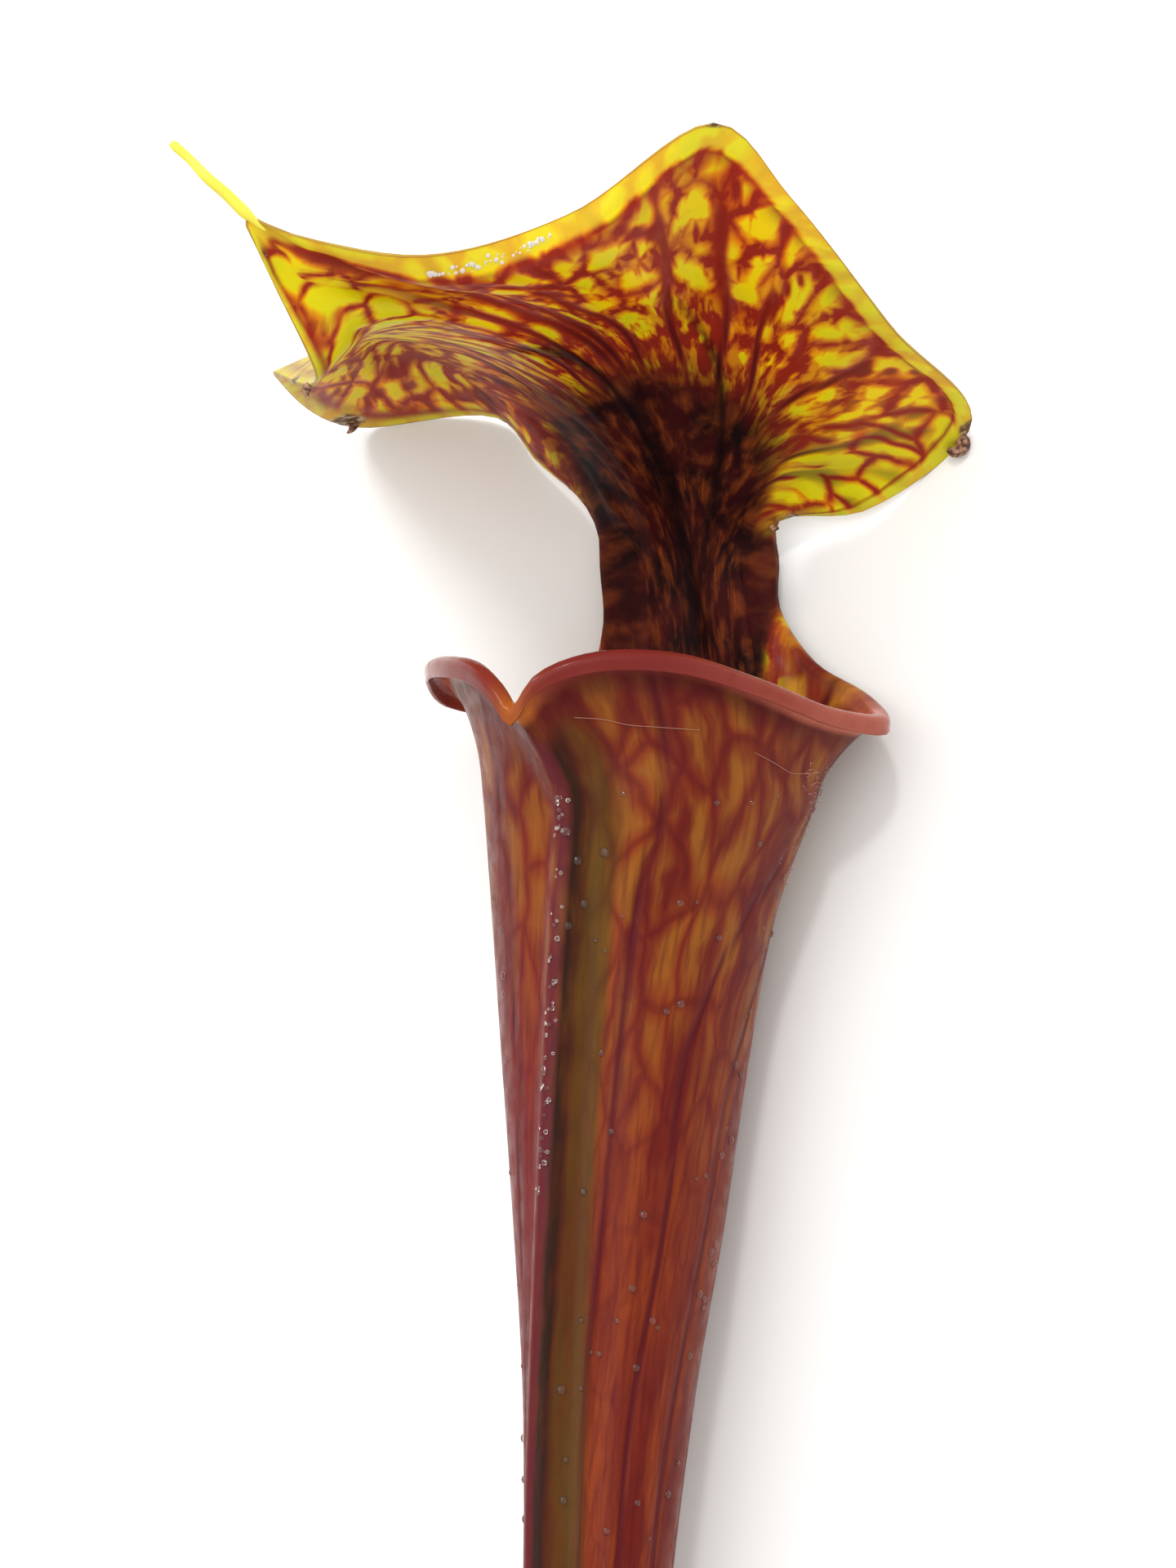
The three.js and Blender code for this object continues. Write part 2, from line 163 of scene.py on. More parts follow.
# Once round the leaf from the notch at the front, by its left side
STATIONS = (
    rim(0, (0, -34, 51)),
    rim(8, (3, -29.5, 50)),
    rim(20, (9, -26.5, 46)),
    rim(42, (18, -26.5, 38)),
    rim(64, (25.5, -30, 29)),
    rim(84, (31, -34, 19)),
    rim(104, (33.5, -35, 8)),
    rim(121, (27.5, -31.5, 0.5), 0.8),
    rim(134, (18, -26, -2), 0.6),
    edge(144, (13.4, -31, 0.8), (12.7, -24, -0.5),
         (13, -20.5, -0.9), (13.7, -18, -1.8), (13, -17.2, -4.3)),
    edge(149, (9.8, -21, -0.6), (10.8, -15.4, -0.8),
         (12.1, -13.6, -0.8), (13.6, -11.4, -1.5), (13, -10.9, -4.2)),
    vein(1, (10.5, -6.5, -0.6), (12.1, -5.2, -0.6), (13.6, -4, -1.3), (13, -4.6, -4.2)),
    vein(0.9, (15, 0.5, 2), (19, 1, -1), (24, -1.5, -6), (25.5, -3, -8)),
    vein(0.8, (17.8, 4.2, 5), (29, 7.5, 3), (39.5, 10.5, -6.3), (40.8, 9, -11.4)),
    vein(0.6, (19, 10, 12), (29.5, 17, 16), (39, 22, 18), (42, 22.5, 17)),
    vein(0.45, (17, 14.5, 17), (29, 29, 34), (35, 39, 42), (37.5, 40, 40)),
    vein(0.35, (14, 16.5, 20), (22.5, 32.5, 39), (29.5, 46, 50), (31.5, 50, 51)),
    vein(0.25, (8.5, 18, 23), (15.5, 28, 46), (18, 33.5, 64), (16, 37, 66)),
    vein(0.14, (4.3, 18.2, 25), (5.5, 25.5, 56), (3.5, 27, 80), (2.9, 30.5, 84.6)),
    vein(0.08, (2.7, 17.6, 25), (2.8, 25.6, 58), (-8.5, 30.2, 89.6), (-9.8, 32.5, 93.2)),
    vein(0.04, (1.9, 17.2, 25), (1.4, 25.6, 59.3), (-10.3, 30.9, 91.2), (-14.4, 34.7, 99.9)),
    vein(0, (1.2, 16.6, 25), (0, 25.4, 60), (-11.6, 30.6, 93), (-16.6, 36.2, 102.2)),
    vein(-0.04, (0.6, 15.9, 24.8), (-1.2, 24.8, 59.5), (-12.4, 29.6, 92.6), (-15.8, 33.5, 101.2)),
    vein(-0.08, (0, 15, 24.2), (-2.4, 24, 58.5), (-13, 27.8, 91.6), (-16, 27.5, 95)),
    vein(-0.15, (-0.8, 13.3, 23), (-4, 22, 55), (-10, 22, 82), (-14, 15, 86)),
    vein(-0.3, (-4, 9, 19), (-12, 19, 38), (-30, 22, 40), (-49, 16.5, 36)),
    vein(-0.5, (-7, 5.5, 13), (-19, 16.5, 20), (-39, 21, 14), (-58.7, 10.5, -5.4)),
    vein(-0.7, (-9.5, 2.5, 8), (-17.5, 9.5, 8), (-30, 15, 5), (-35, 11.5, -7)),
    vein(-0.85, (-11, -1, 5), (-14, 2.5, 4), (-19, 5, 3), (-28, 5, -6)),
    vein(-1, (-11, -6, -0.1), (-13, -4.5, 0.1), (-15, -3.4, -0.7), (-18.6, -2, -4)),
    edge(211, (-10, -22, -0.5), (-11.3, -16.2, -0.6),
         (-12.8, -14, -0.6), (-14.5, -11.8, -1.2), (-14.8, -11, -4.1)),
    edge(216, (-13.6, -32.5, 0.8), (-13.1, -26, -0.4),
         (-13.6, -22.5, -0.8), (-14.2, -20, -1.6), (-13.6, -19.3, -4.2)),
    rim(226, (-18, -29, -2), 0.6),
    rim(240, (-26.5, -33, 2), 0.8),
    rim(260, (-29.5, -31, 13)),
    rim(282, (-25.5, -27.5, 26)),
    rim(305, (-17, -26.8, 38)),
    rim(330, (-8, -28, 46.5)),
    rim(350, (-3, -31, 50)),
)
STATION_COUNT = len(STATIONS)
LOOPS = np.array([points for _, points in STATIONS]).transpose(1, 0, 2)
BEARINGS = np.array([bearing for bearing, _ in STATIONS] + [360.0])
ALL_STATIONS = np.arange(STATION_COUNT + 1)
MARGIN = TOP_RING + len(LOOPS)


def spline(a, b, c, d, t):
    """A centripetal spline from b to c, for arrays of points, where t runs from 0 to 1."""
    def knot(p, q):
        return np.sqrt(np.maximum(np.linalg.norm(q - p, axis=-1), 1e-6))[..., None]

    before, here, after = knot(a, b), knot(b, c), knot(c, d)
    start = here * ((b - a) / before - (c - a) / (before + here) + (c - b) / here)
    end = here * ((c - b) / here - (d - b) / (here + after) + (d - c) / after)
    t = np.asarray(t)[..., None]
    return (
        (2 * t**3 - 3 * t**2 + 1) * b
        + (t**3 - 2 * t**2 + t) * start
        + (3 * t**2 - 2 * t**3) * c
        + (t**3 - t**2) * end
    )


def leaf_lines(places):
    """Lines of guide points up the leaf at places counted in stations round it."""
    places = np.asarray(places) % STATION_COUNT
    first = np.floor(places).astype(int)
    part = places - first
    bearings = BEARINGS[first] + (BEARINGS[first + 1] - BEARINGS[first]) * part
    tube = [[ring_point(ring, bearing) for ring in RINGS] for bearing in bearings]
    around = [LOOPS[:, (first + step) % STATION_COUNT] for step in (-1, 0, 1, 2)]
    upper = spline(*around, np.broadcast_to(part, around[0].shape[:2]))
    return np.concatenate([np.array(tube), upper.transpose(1, 0, 2)], axis=1)


def leaf_points(lines, rows):
    """Points of the leaf's middle surface on those lines, at rows counted in guide loops."""
    rows = np.asarray(rows, dtype=float)
    before = 2 * lines[:, :1] - lines[:, 1:2]
    beyond = 2 * lines[:, -1:] - lines[:, -2:-1]
    padded = np.concatenate([before, lines, beyond], axis=1)
    first = np.minimum(np.floor(rows).astype(int), MARGIN - 1)
    corners = [padded[:, first + step] for step in range(4)]
    return spline(*corners, np.broadcast_to(rows - first, corners[0].shape[:2]))


LAY_DOWN = Matrix.Rotation(REST_PITCH, 3, "X") @ Matrix.Rotation(REST_ROLL, 3, "Y")


def laid_down(points):
    """Points of the standing leaf, in millimetres, where they lie on the floor, in metres."""
    return (points @ np.array(LAY_DOWN).T + np.array(REST_SHIFT)) * MM


# The fine grid of the leaf: lines round it, spaced evenly by the mean of some measured rows,
# and rows up it, counted in guide rows
LINES_ROUND = 240
FINE_PLACES = 1561
MEASURED_ROWS = (11, 14, 15.5, 17.5)
ROWS_UP = np.concatenate([
    np.linspace(0, 11, 58, endpoint=False),
    np.linspace(11, 12, 14, endpoint=False),
    np.linspace(12, 15, 78, endpoint=False),
    np.linspace(15, MARGIN, 38),
])

# Rings that close the cut end, as parts of its radius
CUT_END_RINGS = (0, 0.5, 0.85)

# Once round the tube's map, in its millimetres
MAP_ROUND_TUBE = 150
MERGE_WITHIN = 1e-6


def smooth_step(low, high, value):
    """0 below low, 1 above high, and a smooth rise between them."""
    part = np.clip((value - low) / (high - low), 0, 1)
    return part * part * (3 - 2 * part)


def strip(value, start, full, fading, end):
    """0 before start and past end, 1 from full to fading, with smooth sides."""
    return smooth_step(start, full, value) * (1 - smooth_step(fading, end, value))


def even_places(count):
    """Places spaced evenly round the leaf, and how far round each is, in millimetres."""
    fine = np.linspace(0, STATION_COUNT, FINE_PLACES)
    points = leaf_points(leaf_lines(fine), MEASURED_ROWS)
    points[-1] = points[0]
    steps = np.linalg.norm(np.diff(points, axis=0), axis=2).mean(axis=1)
    along = np.concatenate([[0], np.cumsum(steps)])
    even = np.linspace(0, along[-1], count + 1)
    return np.interp(even, along, fine), even


def shaped_grid(name, points):
    """A piece made from a flat grid, whose points are moved to rows of given places."""
    rows, columns = points.shape[:2]
    bpy.ops.object.select_all(action="DESELECT")
    bpy.ops.mesh.primitive_grid_add(x_subdivisions=columns - 1, y_subdivisions=rows - 1, size=1)
    piece = bpy.context.object
    piece.name = name
    piece.data.vertices.foreach_set("co", points.ravel())
    piece.data.update()
    return piece


def set_map(piece, name, across, up):
    """A UV map whose values are given for each point of the grid."""
    layer = piece.data.uv_layers.new(name=name)
    corners = np.empty(len(piece.data.loops), dtype=int)
    piece.data.loops.foreach_get("vertex_index", corners)
    values = np.stack([across.ravel()[corners], up.ravel()[corners]], axis=1)
    layer.data.foreach_set("uv", values.ravel())


def set_values(piece, name, values):
    """A number for each point of the grid, for the materials to read."""
    layer = piece.data.attributes.new(name, "FLOAT", "POINT")
    layer.data.foreach_set("value", values.ravel().astype(np.float32))


def close_seam(piece):
    """Merges the grid's two side edges, and each end that is drawn to a point."""
    bpy.ops.object.mode_set(mode="EDIT")
    bpy.ops.mesh.select_all(action="SELECT")
    bpy.ops.mesh.remove_doubles(threshold=MERGE_WITHIN)
    bpy.ops.object.mode_set(mode="OBJECT")
    bpy.ops.object.shade_smooth()


def thicken(piece, walls):
    """Gives the piece two skins, with the wall between them given for each point."""
    group = piece.vertex_groups.new(name="wall")
    for index, wall in enumerate(walls):
        group.add([index], wall / TUBE_WALL, "REPLACE")
    skins = piece.modifiers.new("skins", "SOLIDIFY")
    skins.thickness = TUBE_WALL * MM
    skins.offset = 0
    skins.vertex_group = "wall"
    skins.material_offset = 1
    skins.use_even_offset = False
    bpy.ops.object.modifier_apply(modifier="skins")


# Major veins of the lid, by their place round the leaf at the column
LID_VEINS = (
    12.1, 12.9, 13.8, 14.7, 15.6, 16.6, 17.7, 19.2, 21, 23.3, 24.3, 25.1, 25.8, 26.5, 27.3, 28.2,
)

# Each forks in two between these rows, some of them later, and is this wide at some rows
LID_FORK = 0.24
LID_FORK_ROWS = (13.5, 15.4)
LID_FORK_LATER = 0.3
LID_VEIN_WIDTHS = ((12, 0.45), (13, 0.75), (13.9, 1.15), (15.5, 0.8))

# Veins of the tube: the bearing of each in the lower tube, and where it meets the lip
TUBE_VEINS = (
    (28, 33), (61, 101), (92, 128), (125, 146), (160, 165),
    (200, 196), (235, 214), (268, 240), (299, 268), (332, 326),
)
TUBE_VEIN_TURNS = (8.8, 11.6)
TUBE_VEIN_WIDTHS = ((2, 11), (0.45, 0.75))

# How veins drift aside: how far, how fast up the leaf, and how unlike the vein before
LID_DRIFT = (0.09, 0.13, 2.3)
TUBE_DRIFT = (1.6, 0.09, 1.7)

# Dry brown spots: place round the leaf, row up it, and radius in millimetres. The brown
# starts to fade at a part of the radius, and ends past it.
DRY_SPOTS = (
    (13.0, 18, 2.2), (25.9, 17.8, 3.0), (24.5, 18, 1.8), (27.2, 18, 1.6), (11.2, 17.6, 1.4),
    (22.6, 18, 1.0), (16.0, 18, 0.8), (28.6, 18, 1.0),
)
DRY_FADE = (0.3, 1.6)


def stripe(grid, place, width):
    """1 along a line up the leaf, given by its place at each point, fading over a width."""
    line = np.interp(place, grid["places"], grid["even"])
    far = np.abs(grid["round"] - line) * grid["spread"]
    return np.exp(-((far / width) ** 2))


def drift(grid, index, far, pace, unlike):
    """How far a vein lies beside its line, by how far up the leaf it is."""
    return far * np.sin(grid["up"] * (pace + 0.01 * index) + unlike * index)


def lid_veins(grid, wider=1):
    """1 along the middle of each major vein of the lid, fading to 0 at its sides."""
    row = grid["row"]
    width = np.interp(row, *zip(*LID_VEIN_WIDTHS)) * wider
    mask = np.zeros(row.shape)
    fork_from, fork_to = LID_FORK_ROWS
    for index, place in enumerate(LID_VEINS):
        middle = place + drift(grid, index, *LID_DRIFT)
        fork = LID_FORK * smooth_step(fork_from + LID_FORK_LATER * (index % 3), fork_to, row)
        for side in (-1, 1):
            mask = np.maximum(mask, stripe(grid, middle + side * fork, width))
    return mask


def tube_veins(grid):
    """1 along the middle of each vein of the tube, fading to 0 at its sides."""
    row = grid["row"]
    width = np.interp(row, *TUBE_VEIN_WIDTHS)
    mask = np.zeros(row.shape)
    for index, (low, top) in enumerate(TUBE_VEINS):
        bearing = low + (top - low) * smooth_step(*TUBE_VEIN_TURNS, row)
        bearing = bearing + drift(grid, index, *TUBE_DRIFT)
        place = np.interp(bearing, BEARINGS, ALL_STATIONS)
        mask = np.maximum(mask, stripe(grid, place, width))
    return mask


def grid_points(places):
    """Points of the fine leaf by row and line, from the middle of its cut end to its margin."""
    points = leaf_points(leaf_lines(places), ROWS_UP).transpose(1, 0, 2)
    centre = points[0].mean(axis=0)
    cut_end = [centre + (points[0] - centre) * size for size in CUT_END_RINGS]
    points = np.concatenate([np.array(cut_end), points])
    points[:, -1] = points[:, 0]
    return points


def heights(points, rows):
    """How far above the tube's top ring each point is, along the leaf, in millimetres."""
    steps = np.linalg.norm(np.diff(points, axis=0), axis=2)
    up = np.concatenate([np.zeros((1, points.shape[1])), np.cumsum(steps, axis=0)])
    mouth = np.searchsorted(rows, TOP_RING)
    up = up - up[mouth]
    up[:mouth] = up[:mouth].mean(axis=1, keepdims=True)
    return up


def leaf_grid():
    """Every point of the fine leaf, with how far round and how far up the leaf it is."""
    places, even = even_places(LINES_ROUND)
    points = grid_points(places)
    rows = np.concatenate([np.zeros(len(CUT_END_RINGS)), ROWS_UP])
    gaps = np.linalg.norm(np.diff(points, axis=1), axis=2) / np.diff(even)
    shape = points.shape[:2]
    return {
        "points": points,
        "places": places,
        "even": even,
        "row": np.broadcast_to(rows[:, None], shape),
        "place": np.broadcast_to(places, shape),
        "bearing": np.broadcast_to(np.interp(places, ALL_STATIONS, BEARINGS), shape),
        "round": np.broadcast_to(even, shape),
        "up": heights(points, rows),
        "spread": np.concatenate([gaps[:, :1], gaps], axis=1),
    }


# The dark column, as a line in the leaf's own frame, and how far its darkness reaches
COLUMN_LINE = ((0, -46, 2), (0, 4, 9))
DARK_REACH = (12, 50)

# Places where the lid is paler: the low part of its left lobe, and beside its tip
LOW_LOBE = 12.1
TIP_PANEL = 23.7

# The pale band inside the lid's margin starts at this row, by place round the leaf
MARGIN_FROM = ((11, 16.8), (12.6, 15.6), (14, 15), (20.5, 15), (22.5, 17.3), (31, 17.3))

# Painted shade in the grooves up the column and into the lid: place and row of each end, and half
# width.
# Each fades in over some rows below its low end, and out over some below its high end.
SHADED_GROOVES = (
    ((21.3, 12), (25.2, 14.2), 1.5),
    ((14.9, 12.5), (16.9, 13.9), 0.9),
)
GROOVE_IN = 1.2
GROOVE_OUT = 0.8


def nearness(points):
    """1 on the column, falling to 0 out on the lid."""
    low, high = (np.array(end, dtype=float) for end in COLUMN_LINE)
    along = np.clip((points - low) @ (high - low) / ((high - low) @ (high - low)), 0, 1)
    far = np.linalg.norm(points - (low + along[..., None] * (high - low)), axis=2)
    return 1 - np.clip((far - DARK_REACH[0]) / (DARK_REACH[1] - DARK_REACH[0]), 0, 1)


def groove_shade_mask(grid):
    """1 along the middle of each groove's painted shade, fading to 0 at its sides and ends."""
    row = grid["row"]
    mask = np.zeros(row.shape)
    for (low_place, low_row), (high_place, high_row), width in SHADED_GROOVES:
        place = np.interp(row, (low_row, high_row), (low_place, high_place))
        along = strip(row, low_row - GROOVE_IN, low_row, high_row - GROOVE_OUT, high_row)
        mask = np.maximum(mask, along * stripe(grid, place, width))
    return mask


# Over which bearings, counted from the back, and rows a part of the leaf fades in or out
LID_BEARINGS = (34, 46)
LID_ROWS = (9.6, 11.2)
BLADE_BEARINGS = (31, 39)
BLADE_ROWS = (12, 13)
LOW_LOBE_ROWS = (12.4, 13.8)
TIP_PANEL_ROWS = (13.9, 14.9)
LIP_BEARINGS = (48, 78)
LIP_END_BEARINGS = (70, 150)
LIP_ROWS = (14.2, 15)
# Rows over which painted shade darkens the underside of the lip's roll
LIP_UNDERSIDE_SHADE_ROWS = (15.4, 17.4)
# Rows over which a painted shadow falls on the tube under the lip
PAINTED_SHADOW_UNDER_LIP_ROWS = (12.9, 14.2)
BELOW_LIP_ROWS = (12.5, 14.2)
TOP_ROWS = (6, 11.5)

# Along the keel's crest a painted highlight, this wide in millimetres. Beside the keel, in
# millimetres to its left: a band of painted shadow in its groove, then an olive strip. Both are
# narrower lower down: rows, and how wide they are there. Its right flank is pinker.
KEEL_HIGHLIGHT_WIDTH = 0.45
KEEL_SHADOW_BAND = (0.1, 0.7, 2.4, 4.4)
OLIVE_STRIP = (2.4, 4.2, 5.4, 9.5)
BAND_WIDTHS = ((1, 5, 11), (0.25, 0.7, 1))
FLANK_FROM_KEEL = (0.5, 3)
FLANK_BEARINGS = (220, 260)
NOTCH_REACH = 4

# A line along the lid's fold, in rows past the pale band's start, and the paler places
FOLD_LINE = 0.12
FOLD_LINE_WIDTH = 0.28
TIP_PANEL_WIDTH = 1.3
TIP_PANEL_VEINS = 0.25
LOW_LOBE_LIGHTER = 0.42


def lid_masks(grid):
    """Where the column, the lid and the parts of the lid are, from 0 to 1."""
    row, place = grid["row"], grid["place"]
    from_back = np.abs(grid["bearing"] - 180)
    lid = (1 - smooth_step(*LID_BEARINGS, from_back)) * smooth_step(*LID_ROWS, row)
    blade = (1 - smooth_step(*BLADE_BEARINGS, from_back)) * smooth_step(*BLADE_ROWS, row)
    low_lobe = np.exp(-((place - LOW_LOBE) ** 2)) * smooth_step(*LOW_LOBE_ROWS, row)
    tip_panel = np.exp(-(((place - TIP_PANEL) / TIP_PANEL_WIDTH) ** 2))
    tip_panel = tip_panel * smooth_step(*TIP_PANEL_ROWS, row)
    fewer_veins = 1 - (1 - TIP_PANEL_VEINS) * tip_panel
    band_from = np.interp(place, *zip(*MARGIN_FROM))
    from_fold = row - band_from - FOLD_LINE
    near = nearness(grid["points"]) - LOW_LOBE_LIGHTER * low_lobe
    return {
        "lid": lid,
        "near": np.clip(near, 0, 1) * lid,
        "margin": blade * np.clip((row - band_from) / (MARGIN - band_from), 0, 1),
        "fold": blade * np.exp(-((from_fold / FOLD_LINE_WIDTH) ** 2)),
        "vein": lid_veins(grid) * lid * fewer_veins,
        # Painted shade in the grooves of the column and the lid
        "groove": groove_shade_mask(grid) * lid,
        "pale": np.maximum(low_lobe, tip_panel) * blade,
        "spread": grid["spread"],
        "dry": dry_mask(grid),
    }


def tube_masks(grid, lid):
    """Where the tube's lip, keel and veins are, and its painted shade and highlight, from 0 to 1."""
    row = grid["row"]
    from_back = np.abs(grid["bearing"] - 180)
    beside_back = smooth_step(*LIP_BEARINGS, from_back)
    to_left = grid["round"] * grid["spread"]
    to_right = (grid["even"][-1] - grid["round"]) * grid["spread"]
    from_keel = np.minimum(to_left, to_right)
    scaled = to_left / np.interp(row, *BAND_WIDTHS)
    below_lip = 1 - smooth_step(*BELOW_LIP_ROWS, row)
    flank = smooth_step(*FLANK_FROM_KEEL, to_right)
    flank = flank * smooth_step(*FLANK_BEARINGS, grid["bearing"])
    return {
        "tube_vein": tube_veins(grid) * (1 - lid),
        "lip": smooth_step(*LIP_ROWS, row) * beside_back,
        # A painted shadow on the tube under the lip's roll
        "painted_shadow_under_lip": smooth_step(*PAINTED_SHADOW_UNDER_LIP_ROWS, row) * beside_back,
        # Painted shade on the underside of the lip's roll
        "lip_underside_shade": smooth_step(*LIP_UNDERSIDE_SHADE_ROWS, row),
        "lip_end": 1 - smooth_step(*LIP_END_BEARINGS, from_back),
        "notch": np.exp(-((from_keel / NOTCH_REACH) ** 2)),
        "top": smooth_step(*TOP_ROWS, row),
        # Painted highlight along the keel's crest
        "keel": np.exp(-((from_keel / KEEL_HIGHLIGHT_WIDTH) ** 2)) * below_lip,
        # Painted shadow in the groove beside the keel
        "band": strip(scaled, *KEEL_SHADOW_BAND) * below_lip,
        "olive": strip(scaled, *OLIVE_STRIP) * below_lip,
        "flank": flank * (1 - lid),
    }


def dry_mask(grid):
    """1 at each dry spot, fading to 0 at its edge."""
    mask = np.zeros(grid["row"].shape)
    for place, row, radius in DRY_SPOTS:
        middle = leaf_points(leaf_lines([place]), [row])[0, 0]
        far = np.linalg.norm(grid["points"] - middle, axis=2)
        mask = np.maximum(mask, 1 - smooth_step(*DRY_FADE, far / radius))
    return mask


# The lid's veins are sunk in its front and raised on its back: how deep in millimetres, and
# how much wider than their colour
VEIN_DEPTH = 0.3
VEIN_VALLEY = 1.7
VALLEY_BEARINGS = (29, 35)
VALLEY_ROWS = (12.2, 13.2, 15.4, 16.4)


def sink_veins(grid):
    """The leaf's points, with the lid's veins pushed towards its back."""
    points = grid["points"]
    facing = np.cross(np.gradient(points, axis=1), np.gradient(points, axis=0))
    facing /= np.maximum(np.linalg.norm(facing, axis=2, keepdims=True), 1e-6)
    blade = 1 - smooth_step(*VALLEY_BEARINGS, np.abs(grid["bearing"] - 180))
    blade = blade * strip(grid["row"], *VALLEY_ROWS)
    depth = VEIN_DEPTH * lid_veins(grid, VEIN_VALLEY) * blade
    return points + facing * depth[..., None]


def wall_at(row):
    """The leaf's thickness in millimetres, at rows up it."""
    wall = TUBE_WALL + (LID_WALL - TUBE_WALL) * smooth_step(*WALL_THINS, row)
    return wall + (MARGIN_WALL - LID_WALL) * smooth_step(*MARGIN_THINS, row)


def make_leaf():
    """The leaf's skin, from its cut end to the lid's margin."""
    grid = leaf_grid()
    piece = shaped_grid("pitcher_leaf", laid_down(sink_veins(grid)))
    set_map(piece, "lid_map", grid["round"], grid["up"])
    set_map(piece, "tube_map", grid["bearing"] * MAP_ROUND_TUBE / 360, grid["up"])
    masks = lid_masks(grid)
    masks.update(tube_masks(grid, masks["lid"]))
    for name, values in masks.items():
        set_values(piece, name, values)
    set_values(piece, "wall_width", wall_at(grid["row"]))
    close_seam(piece)

    # Merging renumbers the points, so their walls are read back from the mesh
    walls = np.empty(len(piece.data.vertices), dtype=np.float32)
    piece.data.attributes["wall_width"].data.foreach_get("value", walls)
    piece.data.attributes.remove(piece.data.attributes["wall_width"])
    piece.data.materials.append(leaf_material("leaf_outside", outside=True))
    piece.data.materials.append(leaf_material("leaf_inside", outside=False))
    thicken(piece, walls.tolist())
    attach(piece, "root")
    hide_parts("pitcher")


# Colours as the eye sees them
YELLOW = (250, 218, 10)
YELLOW_GREEN = (212, 214, 24)
ORANGE = (240, 146, 14)
RED_BROWN = (202, 82, 20)
VEIN_RED = (156, 40, 24)
VEIN_DARK = (72, 12, 20)
MARGIN_GREEN = (222, 220, 70)
MARGIN_RED = (170, 84, 40)
COLUMN_BLACK = (20, 4, 7)
COLUMN_RED = (68, 15, 15)
COLUMN_BROWN = (142, 66, 26)
TUBE_RED = (100, 25, 18)
TUBE_ORANGE = (132, 54, 20)
TUBE_OLIVE = (150, 96, 28)
TUBE_VEIN = (78, 12, 20)
FLANK_PINK = (116, 32, 36)
# Painted shadow in the keel's groove
KEEL_GROOVE_SHADOW = (44, 24, 14)
GROOVE_OLIVE = (74, 56, 16)
# Painted highlight along the keel's crest
KEEL_HIGHLIGHT_PURPLE = (92, 36, 48)
LIP_RED = (142, 54, 47)
LIP_PINK = (218, 122, 98)
LIP_ORANGE = (212, 122, 44)
INSIDE_RED = (126, 44, 26)
INSIDE_BROWN = (190, 130, 34)
BACK_GREEN = (190, 180, 84)
DRY_BROWN = (84, 46, 32)
DRY_PALE = (196, 172, 132)
CURL_BROWN = (70, 34, 26)
CURL_PALE = (176, 132, 104)
TIP_YELLOW = (238, 224, 72)
SILK_PINK = (168, 116, 98)
HAIR_PINK = (196, 150, 132)
# White of the water, and of the painted glints on the fold's drops
WATER_AND_GLINT_WHITE = (255, 250, 246)

# The lid's colours from a vein, at 0, to the middle of a cell, at 1
LID_COLOURS = (
    (0.0, VEIN_RED), (0.03, VEIN_RED), (0.22, RED_BROWN),
    (0.5, ORANGE), (0.78, YELLOW), (1.0, YELLOW),
)

# Cells and patches that follow the leaf: their width and length, in its maps' millimetres
WIDE_CELLS = (24, 11)
LID_CELLS = (8.6, 11)
FINE_CELLS = (5.8, 9.5)
SMALL_CELLS = (2.5, 4.2)
SPECKLES = (3.2, 5.5)
WARM_PATCHES = (3.6, 6.5)
COLUMN_ISLANDS = (14, 4.6)
TUBE_CELLS = (5.4, 12.5)
TUBE_STREAKS = (1.1, 9)
TUBE_CLOUDS = (7, 40)

# Patches that don't follow it: how many to a metre
GREEN_PATCHES = 55.0
SKIN_PATCHES = 110.0
SWAY_PATCHES = 130.0
VEIN_PATCHES = 230.0
LIP_PATCHES = 260.0
SHINE_PATCHES = 300.0
DRY_PATCHES = 900.0
GRAIN = 1100.0
CURL_GRAIN = 1500.0

# How far veins sway, in cells, and how the skin takes the light, with its relief in metres
SWAY = 0.6
COLUMN_ROUGHNESS = 0.66
SPECULAR = 0.12
BUMP_STRENGTH = 0.4
BUMP_HEIGHT = 0.0004
LID_GLOW = 0.2


def linear(colour):
    """A colour as the eye sees it, 0 to 255, in the light's own scale."""
    def straight(part):
        return part / 12.92 if part < 0.04045 else ((part + 0.055) / 1.055) ** 2.4

    return (*[straight(part / 255) for part in colour], 1)


